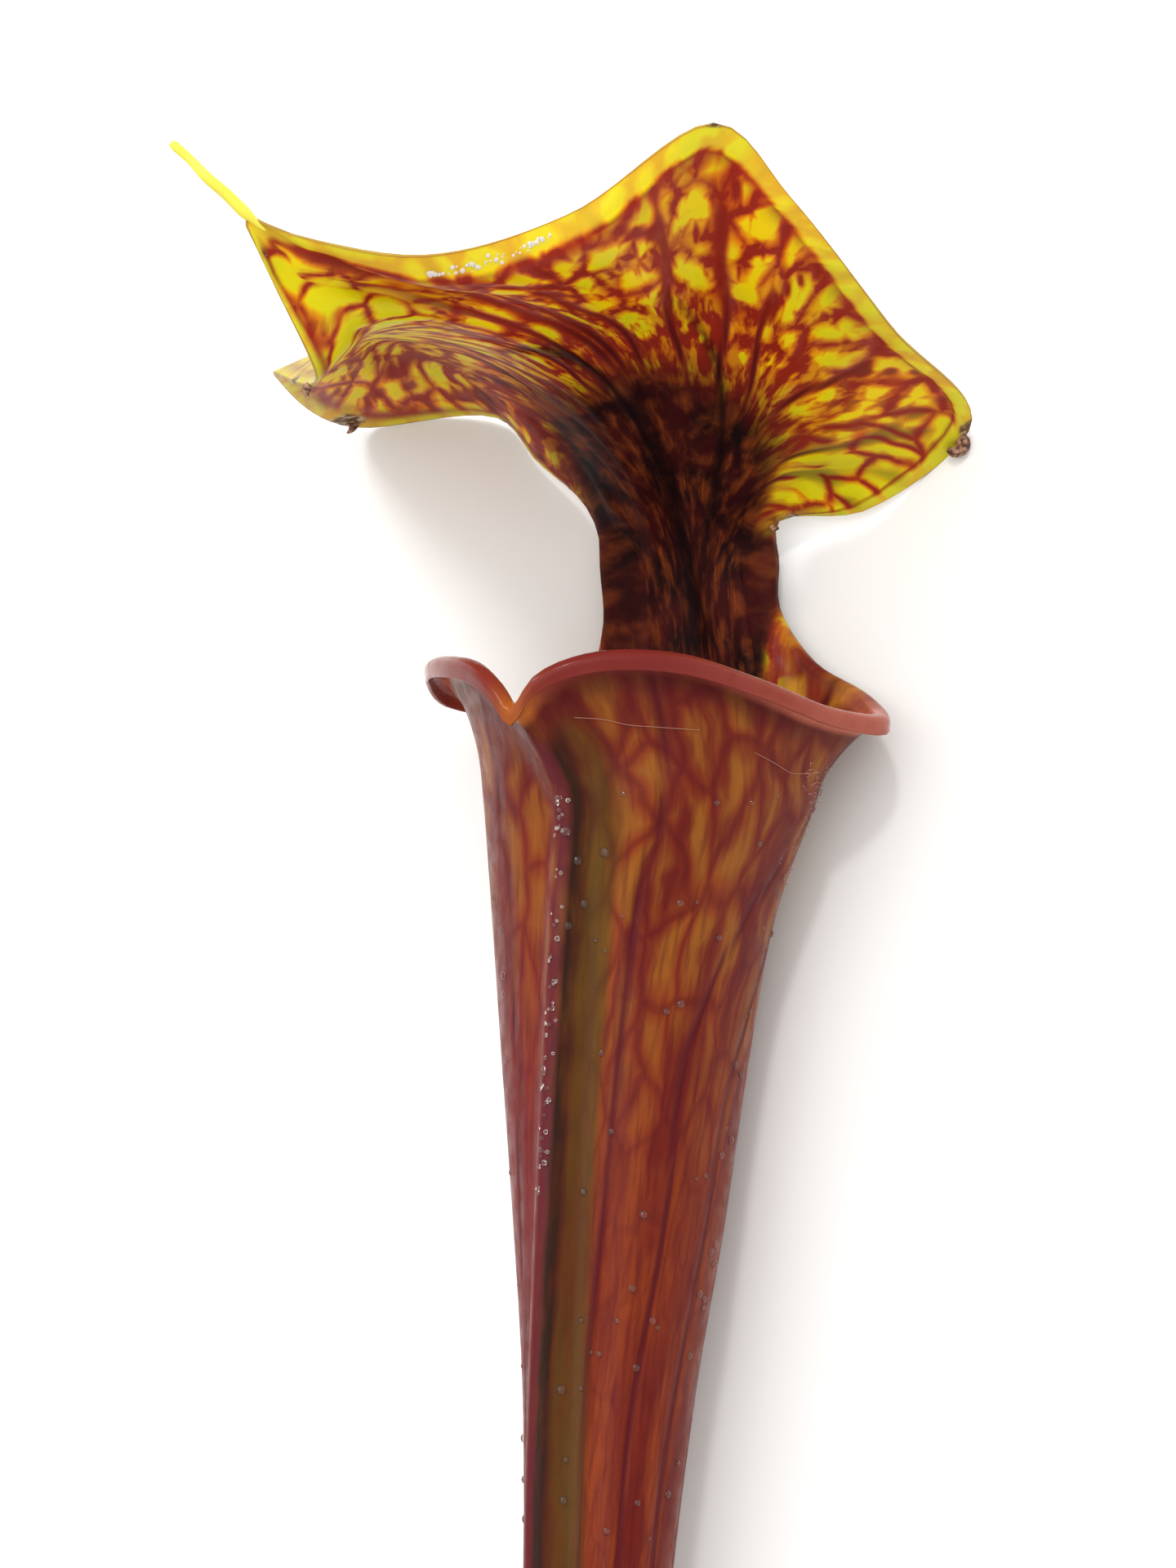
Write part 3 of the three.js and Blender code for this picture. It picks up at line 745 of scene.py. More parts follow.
class Shader:
    """A material's nodes, with short ways to add the usual ones."""

    def __init__(self, name):
        self.material = bpy.data.materials.new(name)
        self.material.use_nodes = True
        self.nodes = self.material.node_tree.nodes
        self.links = self.material.node_tree.links
        self.nodes.clear()

    def add(self, kind, inputs=(), **settings):
        """A node with those settings, whose inputs are constants or other nodes' outputs."""
        node = self.nodes.new(kind)
        for name, value in settings.items():
            setattr(node, name, value)
        for key, value in dict(inputs).items():
            if isinstance(value, bpy.types.NodeSocket):
                self.links.new(value, node.inputs[key])
            else:
                node.inputs[key].default_value = value
        return node

    def maths(self, operation, first, second=0.0):
        """A number worked out from two others."""
        return self.add("ShaderNodeMath", {0: first, 1: second}, operation=operation).outputs[0]

    def times(self, first, second):
        """Two numbers multiplied."""
        return self.maths("MULTIPLY", first, second)

    def vector(self, operation, first, second):
        """Coordinates worked out from two others."""
        inputs = {0: first, 1: second}
        return self.add("ShaderNodeVectorMath", inputs, operation=operation).outputs[0]

    def value(self, name):
        """A number that the piece's mesh holds."""
        return self.add("ShaderNodeAttribute", attribute_name=name).outputs["Fac"]

    def fade(self, value, low, high, start=0.0, end=1.0):
        """A smooth change from start, below low, to end, above high."""
        inputs = {"Value": value, "From Min": low, "From Max": high, "To Min": start, "To Max": end}
        return self.add("ShaderNodeMapRange", inputs, interpolation_type="SMOOTHSTEP").outputs[0]

    def mix(self, factor, first, second):
        """A colour between two others."""
        node = self.add("ShaderNodeMix", {"Factor": factor}, data_type="RGBA")
        for key, colour in ((6, first), (7, second)):
            if isinstance(colour, bpy.types.NodeSocket):
                self.links.new(colour, node.inputs[key])
            else:
                node.inputs[key].default_value = linear(colour)
        return node.outputs[2]

    def blend(self, factor, first, second):
        """A number between two others."""
        return self.add("ShaderNodeMix", {0: factor, 2: first, 3: second}).outputs[0]

    def noise(self, vector, scale, detail=3.0):
        """Soft patches, from 0 to 1, as many to a unit as the scale says."""
        inputs = {"Vector": vector, "Scale": scale, "Detail": detail}
        return self.add("ShaderNodeTexNoise", inputs).outputs["Fac"]

    def ramp(self, value, stops):
        """A colour that changes smoothly through its stops as the value goes from 0 to 1."""
        node = self.add("ShaderNodeValToRGB", {"Fac": value})
        elements = node.color_ramp.elements
        for position, colour in stops[1:-1]:
            elements.new(position).color = linear(colour)
        elements[0].position, elements[0].color = stops[0][0], linear(stops[0][1])
        elements[-1].position, elements[-1].color = stops[-1][0], linear(stops[-1][1])
        return node.outputs["Color"]

    def skin(self, **inputs):
        """A surface with those inputs, whose names have an underscore for each space."""
        named = {key.replace("_", " "): value for key, value in inputs.items()}
        return self.add("ShaderNodeBsdfPrincipled", named).outputs[0]

    def finish(self, surface):
        """The material, with that surface."""
        self.add("ShaderNodeOutputMaterial", {"Surface": surface})
        return self.material


class LeafShader(Shader):
    """The leaf's nodes, with its maps, its coordinates and what its patterns share."""

    def __init__(self, name):
        super().__init__(name)
        self.lid_map = self.add("ShaderNodeUVMap", uv_map="lid_map").outputs[0]
        self.tube_map = self.add("ShaderNodeUVMap", uv_map="tube_map").outputs[0]
        self.place = self.add("ShaderNodeTexCoord").outputs["Object"]
        self.sway = self.small_sway()
        self.near = self.value("near")
        self.patches = self.noise(self.place, SKIN_PATCHES)
        self.speckles = self.patchy(self.lid_map, SPECKLES, 3.0)

    def small_sway(self):
        """A small shift to each side, so that no vein is straight."""
        inputs = {"Vector": self.place, "Scale": SWAY_PATCHES, "Detail": 1.0}
        wobble = self.add("ShaderNodeTexNoise", inputs).outputs["Color"]
        middle = self.vector("SUBTRACT", wobble, (0.5, 0.5, 0.5))
        return self.vector("MULTIPLY", middle, (SWAY, SWAY, 0))

    def counted(self, vector, cell):
        """Coordinates counted in cells of that width and length."""
        width, length = cell
        return self.vector("MULTIPLY", vector, (1 / width, 1 / length, 1))

    def swaying(self, vector, cell):
        """Coordinates counted in cells, that sway a little."""
        return self.vector("ADD", self.counted(vector, cell), self.sway)

    def patchy(self, vector, cell, detail=4.0):
        """Patches of noise of that width and length."""
        return self.noise(self.swaying(vector, cell), 1.0, detail)

    def cells(self, vector, cell):
        """How far each point is from the sides of its cell, in cells."""
        inputs = {"Vector": self.swaying(vector, cell), "Scale": 1.0}
        settings = {"feature": "DISTANCE_TO_EDGE", "voronoi_dimensions": "2D"}
        return self.add("ShaderNodeTexVoronoi", inputs, **settings).outputs["Distance"]


def lid_net(shader):
    """How far each point of the lid is from a side of its cell: finer where the lid spreads."""
    spread = shader.maths("ADD", shader.value("spread"), shader.times(shader.patches, 0.1))
    wide = shader.cells(shader.lid_map, WIDE_CELLS)
    usual = shader.cells(shader.lid_map, LID_CELLS)
    fine = shader.cells(shader.lid_map, FINE_CELLS)
    net = shader.blend(shader.fade(spread, 0.32, 0.5), wide, usual)
    return shader.blend(shader.fade(spread, 0.85, 1.1), net, fine)


def lid_light(shader, net, vein, pale):
    """How light the lid is: darker in its veins and speckles, and towards the column."""
    near = shader.near
    speckles = shader.fade(shader.speckles, 0.42, 0.68)
    mottle = shader.times(speckles, shader.fade(near, 0.0, 0.7, 0.2, 0.6))
    light = shader.maths("SUBTRACT", shader.times(shader.fade(net, -0.12, 0.46), 1.18), mottle)
    small = shader.fade(shader.cells(shader.lid_map, SMALL_CELLS), 0.0, 0.3, 0.42, 0.0)
    small = shader.times(small, shader.fade(shader.noise(shader.place, VEIN_PATCHES), 0.4, 0.6))
    light = shader.maths("SUBTRACT", light, small)
    light = shader.maths("SUBTRACT", light, shader.fade(near, 0.0, 0.95, 0.0, 0.6))
    light = shader.maths("MAXIMUM", light, 0.0)
    warm = shader.fade(shader.patchy(shader.lid_map, WARM_PATCHES, 5.0), 0.46, 0.62, 0.0, 0.42)
    light = shader.maths("ADD", light, shader.times(warm, shader.fade(near, 0.15, 0.4)))
    light = shader.maths("ADD", light, shader.times(pale, 0.42))
    vein_shade = shader.times(shader.fade(vein, 0.0, 0.8), 0.95)
    return shader.times(light, shader.maths("SUBTRACT", 1.0, vein_shade))


def lid_skin(shader, net, vein):
    """Yellow cells between soft red veins, with a pale band and a red fold by the margin."""
    pale = shader.times(shader.value("pale"), shader.fade(net, 0.02, 0.2))
    margin = shader.value("margin")
    band = shader.fade(margin, 0.08, 0.4)
    light = shader.blend(shader.times(band, 0.5), lid_light(shader, net, vein, pale), 0.95)
    green = shader.fade(shader.noise(shader.place, GREEN_PATCHES), 0.42, 0.62)
    green = shader.times(shader.times(green, light), 0.62)
    green = shader.maths("MAXIMUM", green, shader.times(pale, 0.65))
    deep = shader.times(shader.fade(vein, 0.4, 1.0), shader.fade(shader.near, 0.1, 0.6, 0.2, 1.0))
    fold = shader.times(shader.value("fold"), shader.fade(shader.patches, 0.35, 0.6, 0.5, 0.9))
    colour = shader.mix(green, shader.ramp(light, LID_COLOURS), YELLOW_GREEN)
    colour = shader.mix(shader.times(deep, 0.85), colour, VEIN_DARK)
    colour = shader.mix(shader.times(band, 0.4), colour, MARGIN_GREEN)
    colour = shader.mix(fold, colour, VEIN_RED)
    return shader.mix(shader.fade(margin, 0.93, 1.0, 0.0, 0.8), colour, MARGIN_RED)


def column_skin(shader, vein):
    """Almost black, with dark red patches and brown islands."""
    islands = shader.fade(shader.patchy(shader.lid_map, COLUMN_ISLANDS), 0.42, 0.72)
    islands = shader.times(islands, shader.fade(shader.speckles, 0.3, 0.7, 1.0, 0.35))
    colour = shader.mix(shader.fade(shader.patches, 0.3, 0.62), COLUMN_BLACK, COLUMN_RED)
    colour = shader.mix(islands, colour, COLUMN_BROWN)
    return shader.mix(shader.fade(vein, 0.4, 1.0, 0.0, 0.85), colour, COLUMN_BLACK)


def lid_colour(shader, net, outside):
    """The lid and its dark column, with painted shade in its grooves, and a greener back."""
    vein = shader.times(shader.value("vein"), shader.fade(shader.near, 0.62, 0.9, 1.0, 0.35))
    colour = lid_skin(shader, net, vein)
    if outside:
        colour = shader.mix(0.5, colour, BACK_GREEN)
    column = column_skin(shader, vein)
    colour = shader.mix(shader.fade(shader.near, 0.54, 0.94), colour, column)
    # Painted shade: the grooves darkened towards black
    return shader.mix(shader.times(shader.value("groove"), 0.9), colour, COLUMN_BLACK)


def tube_outside(shader, cells, clouds):
    """Red-brown, with soft olive cells near the top and a pink flank."""
    top = shader.value("top")
    patch = shader.times(shader.fade(cells, 0.04, 0.34), shader.fade(clouds, 0.36, 0.56))
    patch = shader.times(patch, shader.fade(top, 0.25, 0.9))
    line = shader.fade(cells, 0.01, 0.11, 0.42, 0.0)
    line = shader.times(line, shader.fade(top, 0.1, 0.8, 0.5, 1.0))
    pink = shader.times(shader.value("flank"), shader.fade(top, 0.4, 1.0, 0.75, 0.15))
    skin = shader.mix(shader.fade(clouds, 0.32, 0.72), TUBE_RED, TUBE_ORANGE)
    skin = shader.mix(shader.times(patch, 0.62), skin, TUBE_OLIVE)
    skin = shader.mix(line, skin, TUBE_VEIN)
    return shader.mix(pink, skin, FLANK_PINK)


def tube_inside(shader, cells, clouds):
    """Red, with brown cells."""
    patch = shader.times(shader.fade(cells, 0.05, 0.3), shader.fade(clouds, 0.4, 0.6))
    return shader.mix(patch, INSIDE_RED, INSIDE_BROWN)


def keel_colour(shader, skin, streaks, clouds):
    """The tube's skin with a painted purple highlight along its keel, and beside it a dark band of
    painted shadow and an olive strip.
    """
    olive = shader.times(shader.value("olive"), shader.fade(clouds, 0.3, 0.65, 0.5, 0.85))
    # Painted shadow in the groove beside the keel
    band = shader.times(shader.value("band"), shader.fade(streaks, 0.25, 0.6, 0.75, 1.0))
    skin = shader.mix(olive, skin, GROOVE_OLIVE)
    skin = shader.mix(band, skin, KEEL_GROOVE_SHADOW)
    # Painted highlight along the keel's crest
    return shader.mix(shader.times(shader.value("keel"), 0.8), skin, KEEL_HIGHLIGHT_PURPLE)


def tube_colour(shader, outside):
    """The tube, with fine streaks and dark veins up it."""
    streaks = shader.noise(shader.counted(shader.tube_map, TUBE_STREAKS), 1.0, 4.0)
    clouds = shader.patchy(shader.tube_map, TUBE_CLOUDS)
    cells = shader.cells(shader.tube_map, TUBE_CELLS)
    vein = shader.value("tube_vein")
    skin = tube_outside(shader, cells, clouds) if outside else tube_inside(shader, cells, clouds)
    skin = shader.mix(shader.fade(streaks, 0.42, 0.72, 0.0, 0.5), skin, TUBE_VEIN)
    skin = shader.mix(shader.fade(vein, 0.02, 0.7, 0.0, 0.35), skin, TUBE_VEIN)
    skin = shader.mix(shader.fade(vein, 0.35, 0.95, 0.0, 0.9), skin, TUBE_VEIN)
    return keel_colour(shader, skin, streaks, clouds) if outside else skin


def lip_colour(shader):
    """The rolled lip: red, pinker by the column, orange in the notch, and darker underneath with
    painted shade.
    """
    flecks = shader.fade(shader.noise(shader.place, LIP_PATCHES), 0.4, 0.75, 0.0, 0.35)
    roll = shader.mix(shader.value("lip_end"), LIP_RED, LIP_PINK)
    roll = shader.mix(shader.times(shader.value("notch"), 0.8), roll, LIP_ORANGE)
    roll = shader.mix(flecks, roll, TUBE_ORANGE)
    # Painted shade: the lip's underside darkened
    return shader.mix(shader.fade(shader.value("lip_underside_shade"), 0.0, 1.0, 0.0, 0.5), roll, TUBE_VEIN)


def leaf_colour(shader, net, outside):
    """The tube with a painted shadow under its lip, its lip and the lid, with dry spots on them."""
    skin = tube_colour(shader, outside)
    # Painted shadow: the tube darkened under the lip
    skin = shader.mix(shader.times(shader.value("painted_shadow_under_lip"), 0.55), skin, TUBE_VEIN)
    skin = shader.mix(shader.times(shader.value("lip"), 0.95), skin, lip_colour(shader))
    colour = shader.mix(shader.value("lid"), skin, lid_colour(shader, net, outside))
    crumbs = shader.fade(shader.noise(shader.place, DRY_PATCHES), 0.45, 0.65)
    dry = shader.mix(crumbs, DRY_BROWN, DRY_PALE)
    return shader.mix(shader.fade(shader.value("dry"), 0.3, 0.75, 0.0, 0.95), colour, dry)


def leaf_bump(shader, net):
    """Cells that stand out between sunken veins, less so on the column and the lip."""
    quilt = shader.times(shader.fade(net, 0.0, 0.35), shader.value("lid"))
    vein = shader.maths("ADD", shader.value("vein"), shader.value("tube_vein"))
    grain = shader.times(shader.noise(shader.place, GRAIN), 0.25)
    height = shader.maths("ADD", shader.maths("SUBTRACT", quilt, vein), grain)
    height = shader.times(height, shader.fade(shader.near, 0.55, 0.9, 1.0, 0.2))
    height = shader.times(height, shader.fade(shader.value("lip"), 0.0, 1.0, 1.0, 0.15))
    inputs = {"Height": height, "Strength": BUMP_STRENGTH, "Distance": BUMP_HEIGHT}
    return shader.add("ShaderNodeBump", inputs).outputs[0]


def leaf_roughness(shader):
    """Shiny in patches, shinier on the lip, and dull on the column."""
    rough = shader.fade(shader.noise(shader.place, SHINE_PATCHES), 0.3, 0.7, 0.3, 0.5)
    rough = shader.maths("SUBTRACT", rough, shader.times(shader.value("lip"), 0.2))
    return shader.blend(shader.fade(shader.near, 0.45, 0.8), rough, COLUMN_ROUGHNESS)


def leaf_material(name, outside):
    """The leaf's skin, with a lid that lets a little light through."""
    shader = LeafShader(name)
    net = lid_net(shader)
    colour = leaf_colour(shader, net, outside)
    bump = leaf_bump(shader, net)
    body = shader.skin(
        Base_Color=colour, Roughness=leaf_roughness(shader), Normal=bump,
        Specular_IOR_Level=SPECULAR,
    )
    glow = shader.add("ShaderNodeBsdfTranslucent", {"Color": colour, "Normal": bump}).outputs[0]
    share = shader.times(shader.value("lid"), LID_GLOW)
    both = shader.add("ShaderNodeMixShader", {0: share, 1: body, 2: glow}).outputs[0]
    return shader.finish(both)


# The thin tip past the lid's point: its middle line and its radius
TIP = (
    ((-14.4, 33.4, 98.4), 0.2),
    ((-16.2, 36.2, 101.8), 0.9),
    ((-18, 38.6, 103.6), 0.85),
    ((-20, 41, 105.8), 0.8),
    ((-22.2, 43.4, 106.4), 0.65),
    ((-23.9, 45.2, 107.5), 0.7),
    ((-24.5, 45.8, 107.9), 0.45),
)


def make_finger(name, line, sizes, sides, steps):
    """A round finger along a line of points, in millimetres, with a radius at each."""
    parts = np.linspace(0, len(line) - 1, steps)
    middle = np.array(line, dtype=float)
    padded = np.vstack([2 * middle[0] - middle[1], middle, 2 * middle[-1] - middle[-2]])
    first = np.minimum(parts.astype(int), len(line) - 2)
    path = spline(*[padded[first + step] for step in range(4)], parts - first)
    radius = np.interp(parts, np.arange(len(line)), sizes)
    along = np.gradient(path, axis=0)
    along /= np.linalg.norm(along, axis=1, keepdims=True)
    side = np.cross(along, (0, 0, 1))
    side /= np.linalg.norm(side, axis=1, keepdims=True)
    over = np.cross(side, along)
    turns = np.linspace(0, 2 * np.pi, sides + 1)
    out = side[:, None] * np.cos(turns)[:, None] + over[:, None] * np.sin(turns)[:, None]
    points = path[:, None] + out * radius[:, None, None]
    ends = np.repeat(path[[0, -1]][:, None], sides + 1, axis=1)
    points = np.concatenate([ends[:1], points, ends[1:]])
    points[:, -1] = points[:, 0]
    piece = shaped_grid(name, laid_down(points))
    close_seam(piece)
    bpy.ops.object.mode_set(mode="EDIT")
    bpy.ops.mesh.select_all(action="SELECT")
    bpy.ops.mesh.normals_make_consistent(inside=False)
    bpy.ops.object.mode_set(mode="OBJECT")
    return piece


def own(piece, material):
    """Gives a small piece its material, and ties it to the leaf."""
    piece.data.materials.append(material)
    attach(piece, "root")


def plain_material(name, colour, roughness, **extra):
    """A material of one colour."""
    shader = Shader(name)
    return shader.finish(shader.skin(Base_Color=linear(colour), Roughness=roughness, **extra))


def make_tip():
    """The lid's thin tip, a finger that bends up."""
    line, sizes = zip(*TIP)
    own(make_finger("lid_tip", line, sizes, 24, 40), plain_material("tip_skin", TIP_YELLOW, 0.4))


# Dried bits of the margin that curl: place and row of the foot, steps from it along the
# curl's middle line, and the radius at each point, in millimetres
DRY_CURLS = (
    (12.85, 17.8, ((0.5, -0.6, 0.3), (0.5, -1.5, 0.9), (-0.4, -2.0, 1.5), (-1.3, -1.6, 1.8)),
     (1.0, 1.1, 1.0, 0.8, 0.4)),
    (25.98, 17.9, ((-0.1, -0.6, 0.3), (-0.4, -1.1, 0.5), (-0.9, -1.4, 0.6)), (0.8, 0.65, 0.4, 0.15)),
    (24.3, 18, ((-0.4, -0.4, 0.1), (-0.6, -1.0, 0.1), (-0.5, -1.6, -0.1)), (0.7, 0.7, 0.55, 0.3)),
    (10.8, 15.6, ((0.4, -0.4, 0.4), (1.0, -0.6, 0.6), (1.6, -0.5, 0.5)), (0.5, 0.5, 0.4, 0.2)),
)


def dry_material():
    """Brown and brittle, with paler crumbs."""
    shader = Shader("dry_skin")
    place = shader.add("ShaderNodeTexCoord").outputs["Object"]
    crumbs = shader.fade(shader.noise(place, CURL_GRAIN), 0.35, 0.65)
    colour = shader.mix(crumbs, CURL_BROWN, CURL_PALE)
    return shader.finish(shader.skin(Base_Color=colour, Roughness=0.75))


def make_dry_curls():
    """Small brown curls where the margin has dried."""
    skin = dry_material()
    for number, (place, row, steps, sizes) in enumerate(DRY_CURLS):
        foot = Vector(leaf_points(leaf_lines([place]), [row])[0, 0])
        line = [foot] + [foot + Vector(step) for step in steps]
        own(make_finger(f"dry_curl_{number}", line, sizes, 12, 24), skin)


# Fine threads of silk across the tube under the lip: bearing and row of their points
SILK_THREADS = (
    ((11, 13.3), (18, 12.95), (25, 12.72), (32, 12.66), (39, 12.64), (46, 12.66)),
    ((64, 12.36), (72, 12.16), (78, 12.0), (86, 12.12), (92, 12.26)),
)
SILK_RADIUS = 0.045
SILK_LIFT = 0.72

# How far to each side a patch of the surface goes that shows its facing, in stations and rows
PATCH = 0.03


def surface_at(place, row, lift):
    """A point over the leaf's middle surface, in millimetres, and the way it faces."""
    lines = leaf_lines([place - PATCH, place, place + PATCH])
    patch = leaf_points(lines, [row - PATCH, row, min(row + PATCH, MARGIN)])
    facing = Vector(np.cross(patch[2, 1] - patch[0, 1], patch[1, 2] - patch[1, 0])).normalized()
    return Vector(patch[1, 1]) + facing * lift, facing


def at_bearing(bearing):
    """The place round the leaf, counted in stations, at a bearing."""
    return np.interp(bearing % 360, BEARINGS, ALL_STATIONS)


def make_silk():
    """Threads left on the tube under the lip."""
    silk = plain_material("silk", SILK_PINK, 0.4)
    for number, thread in enumerate(SILK_THREADS):
        line = [surface_at(at_bearing(bearing), row, SILK_LIFT)[0] for bearing, row in thread]
        piece = make_finger(f"silk_{number}", line, [SILK_RADIUS] * len(line), 6, 40)
        own(piece, silk)


# Drops of water: how many, the rows that they lie on, and their radii in millimetres
KEEL_DROPS = (64, (8.2, 11.2), (0.18, 0.4))
FACE_DROPS = (46, (5.5, 11.4), (0.3, 0.62))
SIDE_DROPS = (26, (5.5, 10.2), (0.4, 0.7))

# Where those lie: how far a keel drop strays, and the bearings of the face and of the sides
KEEL_STRAY = 0.8
FACE_BEARINGS = (6, 112)
SIDE_BEARINGS = ((96, 112), (312, 326))

# The biggest drops, each at a bearing and a row
BIG_DROPS = (
    (1, 10.71), (4, 10.45), (7, 10.1), (3, 9.93), (14, 10.53),
    (10, 7.0), (14, 6.36), (50, 8.09), (53, 9.41),
)
BIG_RADIUS = (0.6, 0.85)

# Drops along the lid's fold, whose row falls as the place round the leaf grows
FOLD_DROPS = 54
FOLD_PLACES = (17.2, 18.2)
FOLD_MIDDLE = (17.7, 16.3)
FOLD_SLOPE = 0.9
FOLD_STRAY = 0.2
FOLD_RADIUS = (0.12, 0.46)
DROP_HEIGHT = 0.62
WATER_IOR = 1.33


def start_piece(name):
    """An empty piece at the origin, left in edit mode for shapes to be added."""
    bpy.ops.object.select_all(action="DESELECT")
    bpy.ops.mesh.primitive_ico_sphere_add(subdivisions=1, radius=MM)
    piece = bpy.context.object
    piece.name = name
    bpy.ops.object.mode_set(mode="EDIT")
    bpy.ops.mesh.select_all(action="SELECT")
    bpy.ops.mesh.delete(type="VERT")
    return piece


def lying(point):
    """Where a point of the standing leaf lies, in metres."""
    return (LAY_DOWN @ point + REST_SHIFT) * MM


def add_drop(place, row, radius, side=1):
    """A flattened drop on the outer skin, or on the inner one where side is -1."""
    wall = TUBE_WALL if row < TOP_RING + 1 else LID_WALL
    point, facing = surface_at(place, row, side * 0.5 * wall)
    turn = (LAY_DOWN @ facing).to_track_quat("Z", "Y").to_euler()
    bpy.ops.mesh.primitive_ico_sphere_add(
        subdivisions=2, radius=radius * MM, location=lying(point), rotation=turn,
        scale=(1, 1, DROP_HEIGHT),
    )


def finish_drops(piece, name, roughness, clear):
    """Rounds the drops off, and fills them with water."""
    bpy.ops.object.mode_set(mode="OBJECT")
    bpy.ops.object.shade_smooth()
    own(piece, plain_material(name, WATER_AND_GLINT_WHITE, roughness, Transmission_Weight=clear, IOR=WATER_IOR))


def make_fold_drops():
    """Drops along the lid's fold, half milky white as painted glints."""
    draw = random.Random(7)
    piece = start_piece("fold_drops")
    middle_place, middle_row = FOLD_MIDDLE
    for _ in range(FOLD_DROPS):
        place = draw.uniform(*FOLD_PLACES)
        row = middle_row + FOLD_SLOPE * (middle_place - place) + draw.gauss(0, FOLD_STRAY)
        add_drop(place, row, draw.uniform(*FOLD_RADIUS), -1)
    # Half clear and half white: the white stands in for glints, as a painted highlight
    finish_drops(piece, "fold_water_painted_glint", 0.05, 0.5)


def make_dew():
    """Clear drops of dew along the keel and on the tube's face and sides."""
    draw = random.Random(8)
    piece = start_piece("dew")
    count, rows, sizes = KEEL_DROPS
    for _ in range(count):
        row = draw.uniform(*rows)
        add_drop(at_bearing(draw.gauss(0, KEEL_STRAY)), row, draw.uniform(*sizes))
    count, rows, sizes = FACE_DROPS
    for _ in range(count):
        place = at_bearing(draw.uniform(*FACE_BEARINGS))
        add_drop(place, draw.uniform(*rows), draw.uniform(*sizes))
    count, rows, sizes = SIDE_DROPS
    for _ in range(count):
        bearing = draw.choice([draw.uniform(*side) for side in SIDE_BEARINGS])
        add_drop(at_bearing(bearing), draw.uniform(*rows), draw.uniform(*sizes))
    for bearing, row in BIG_DROPS:
        add_drop(at_bearing(bearing), row, draw.uniform(*BIG_RADIUS))
    finish_drops(piece, "dew_water", 0.02, 0.98)


# Hairs: place round the leaf from and to, rows from and to, and how many
HAIR_FIELDS = (
    (8.4, 10.6, 13.4, 15.6, 150),
    (29.8, 31.6, 13.0, 15.4, 110),
    (5.0, 6.6, 10.2, 12.6, 130),
    (13.8, 17.2, 17.6, 18, 40),
)

# A hair's size in millimetres. Its middle is lifted off the leaf's middle surface by a fixed
# distance and a part of its length.
HAIR_LENGTH = (0.4, 1.05)
HAIR_RADIUS = 0.06
HAIR_LIFT = 0.4
HAIR_OUT = 0.4

# How a hair leans: the middle and the spread of its lean to the left, up and to the front
HAIR_LEAN = ((0, 0.3), (0.25, 0.3), (0, 0.3))


def make_hairs():
    """Short stiff hairs on the column's edges, the tube's shoulder and the lid's margin."""
    draw = random.Random(11)
    piece = start_piece("hairs")
    for low_place, high_place, low_row, high_row, count in HAIR_FIELDS:
        for _ in range(count):
            place = draw.uniform(low_place, high_place)
            row = draw.uniform(low_row, high_row)
            length = draw.uniform(*HAIR_LENGTH)
            point, facing = surface_at(place, row, HAIR_LIFT + HAIR_OUT * length)
            lean = Vector([draw.gauss(*way) for way in HAIR_LEAN])
            turn = (LAY_DOWN @ (facing + lean)).to_track_quat("Z", "Y").to_euler()
            bpy.ops.mesh.primitive_cone_add(
                vertices=4, radius1=HAIR_RADIUS * MM, radius2=0, depth=length * MM,
                location=lying(point), rotation=turn,
            )
    bpy.ops.object.mode_set(mode="OBJECT")
    own(piece, plain_material("hair", HAIR_PINK, 0.5))


# The floor's side in metres, and the floor and the air, whose colours are in the light's scale
FLOOR_SIDE = 6
FLOOR_PALE = (0.93, 0.93, 0.92, 1)
AIR_PALE = (1, 0.99, 0.97, 1)
AIR_LIGHT = 0.68

# Lights: name, place and target in metres, side in metres, and power in watts
LIGHTS = (
    ("sky", (0.2, 0.3, 1.2), (0, 0.05, 0), 1.4, 10),
    ("lamp", (0.35, 0.75, 1.1), (0, 0.05, 0.03), 0.1, 3),
    ("window", (-0.5, 0.9, 0.9), (0, 0.1, 0.03), 0.35, 7),
)


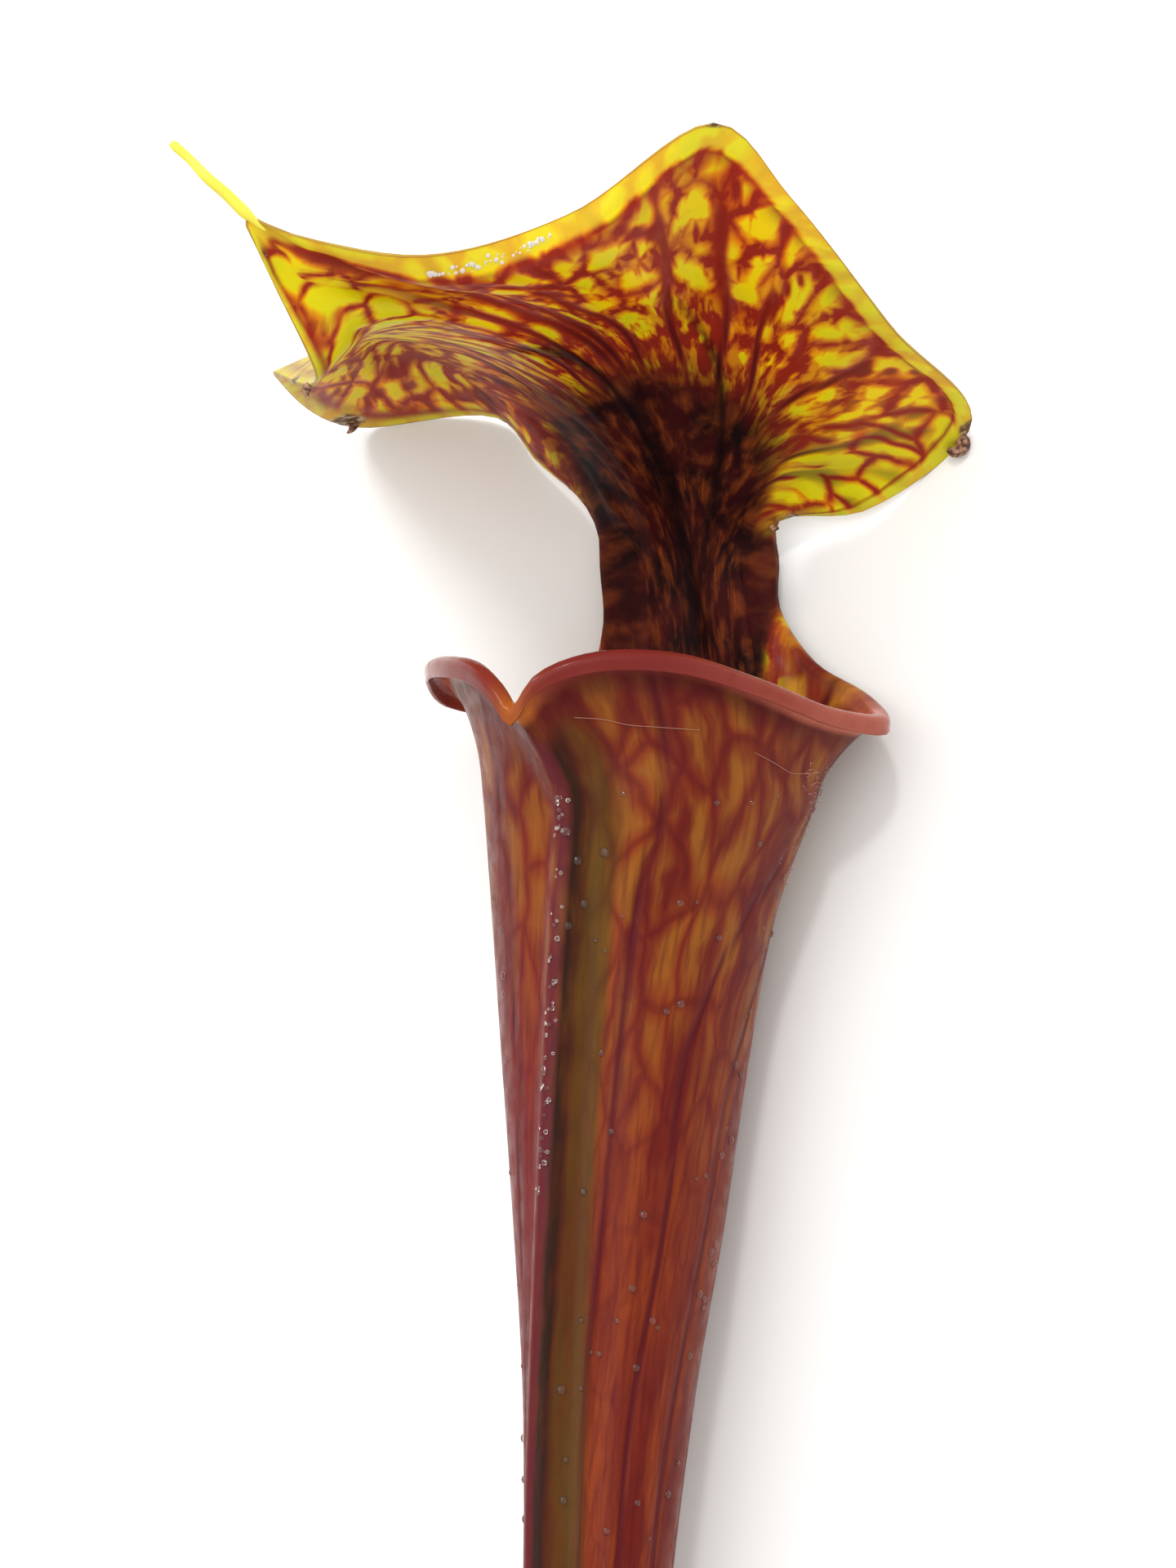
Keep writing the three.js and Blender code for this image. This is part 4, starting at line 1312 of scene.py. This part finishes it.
def make_floor():
    """A plain pale floor."""
    bpy.ops.object.select_all(action="DESELECT")
    bpy.ops.mesh.primitive_plane_add(size=FLOOR_SIDE)
    floor = bpy.context.object
    floor.name = "floor"
    shader = Shader("floor_paper")
    paper = shader.skin(Base_Color=FLOOR_PALE, Roughness=0.9)
    floor.data.materials.append(shader.finish(paper))


def add_light(name, place, target, size, power):
    """A square soft light that faces a target."""
    bpy.ops.object.light_add(type="AREA", location=place)
    light = bpy.context.object
    light.name = name
    light.data.size = size
    light.data.energy = power
    light.rotation_euler = (Vector(target) - Vector(place)).to_track_quat("-Z", "Y").to_euler()


def set_lights():
    """Soft daylight from above, and more from the lid's side."""
    for light in LIGHTS:
        add_light(*light)
    world = bpy.context.scene.world or bpy.data.worlds.new("studio")
    bpy.context.scene.world = world
    world.use_nodes = True
    background = world.node_tree.nodes["Background"]
    background.inputs["Color"].default_value = AIR_PALE
    background.inputs["Strength"].default_value = AIR_LIGHT


def set_camera():
    """The photograph's view: level with the leaf as it stood, from its left front."""
    right = Vector((math.cos(VIEW_AZIMUTH), 0, -math.sin(VIEW_AZIMUTH)))
    upward = Vector((0, 1, 0))
    towards = Vector((math.sin(VIEW_AZIMUTH), 0, math.cos(VIEW_AZIMUTH)))
    place = right * VIEW_CENTRE[0] + upward * VIEW_CENTRE[1] + towards * VIEW_DISTANCE
    turn = LAY_DOWN @ Matrix((right, upward, towards)).transposed()
    bpy.ops.object.camera_add()
    camera = bpy.context.object
    camera.matrix_world = Matrix.Translation((LAY_DOWN @ place + REST_SHIFT) * MM) @ turn.to_4x4()
    camera.data.sensor_fit = "VERTICAL"
    camera.data.angle = 2 * math.atan(VIEW_HEIGHT / 2 / VIEW_DISTANCE)
    camera.data.clip_end = 10
    bpy.context.scene.camera = camera
    bpy.context.scene.view_settings.view_transform = "Standard"


bpy.ops.object.select_all(action="DESELECT")
make_leaf()
make_tip()
make_dry_curls()
make_silk()
make_fold_drops()
make_dew()
make_hairs()
make_floor()
set_lights()
set_camera()
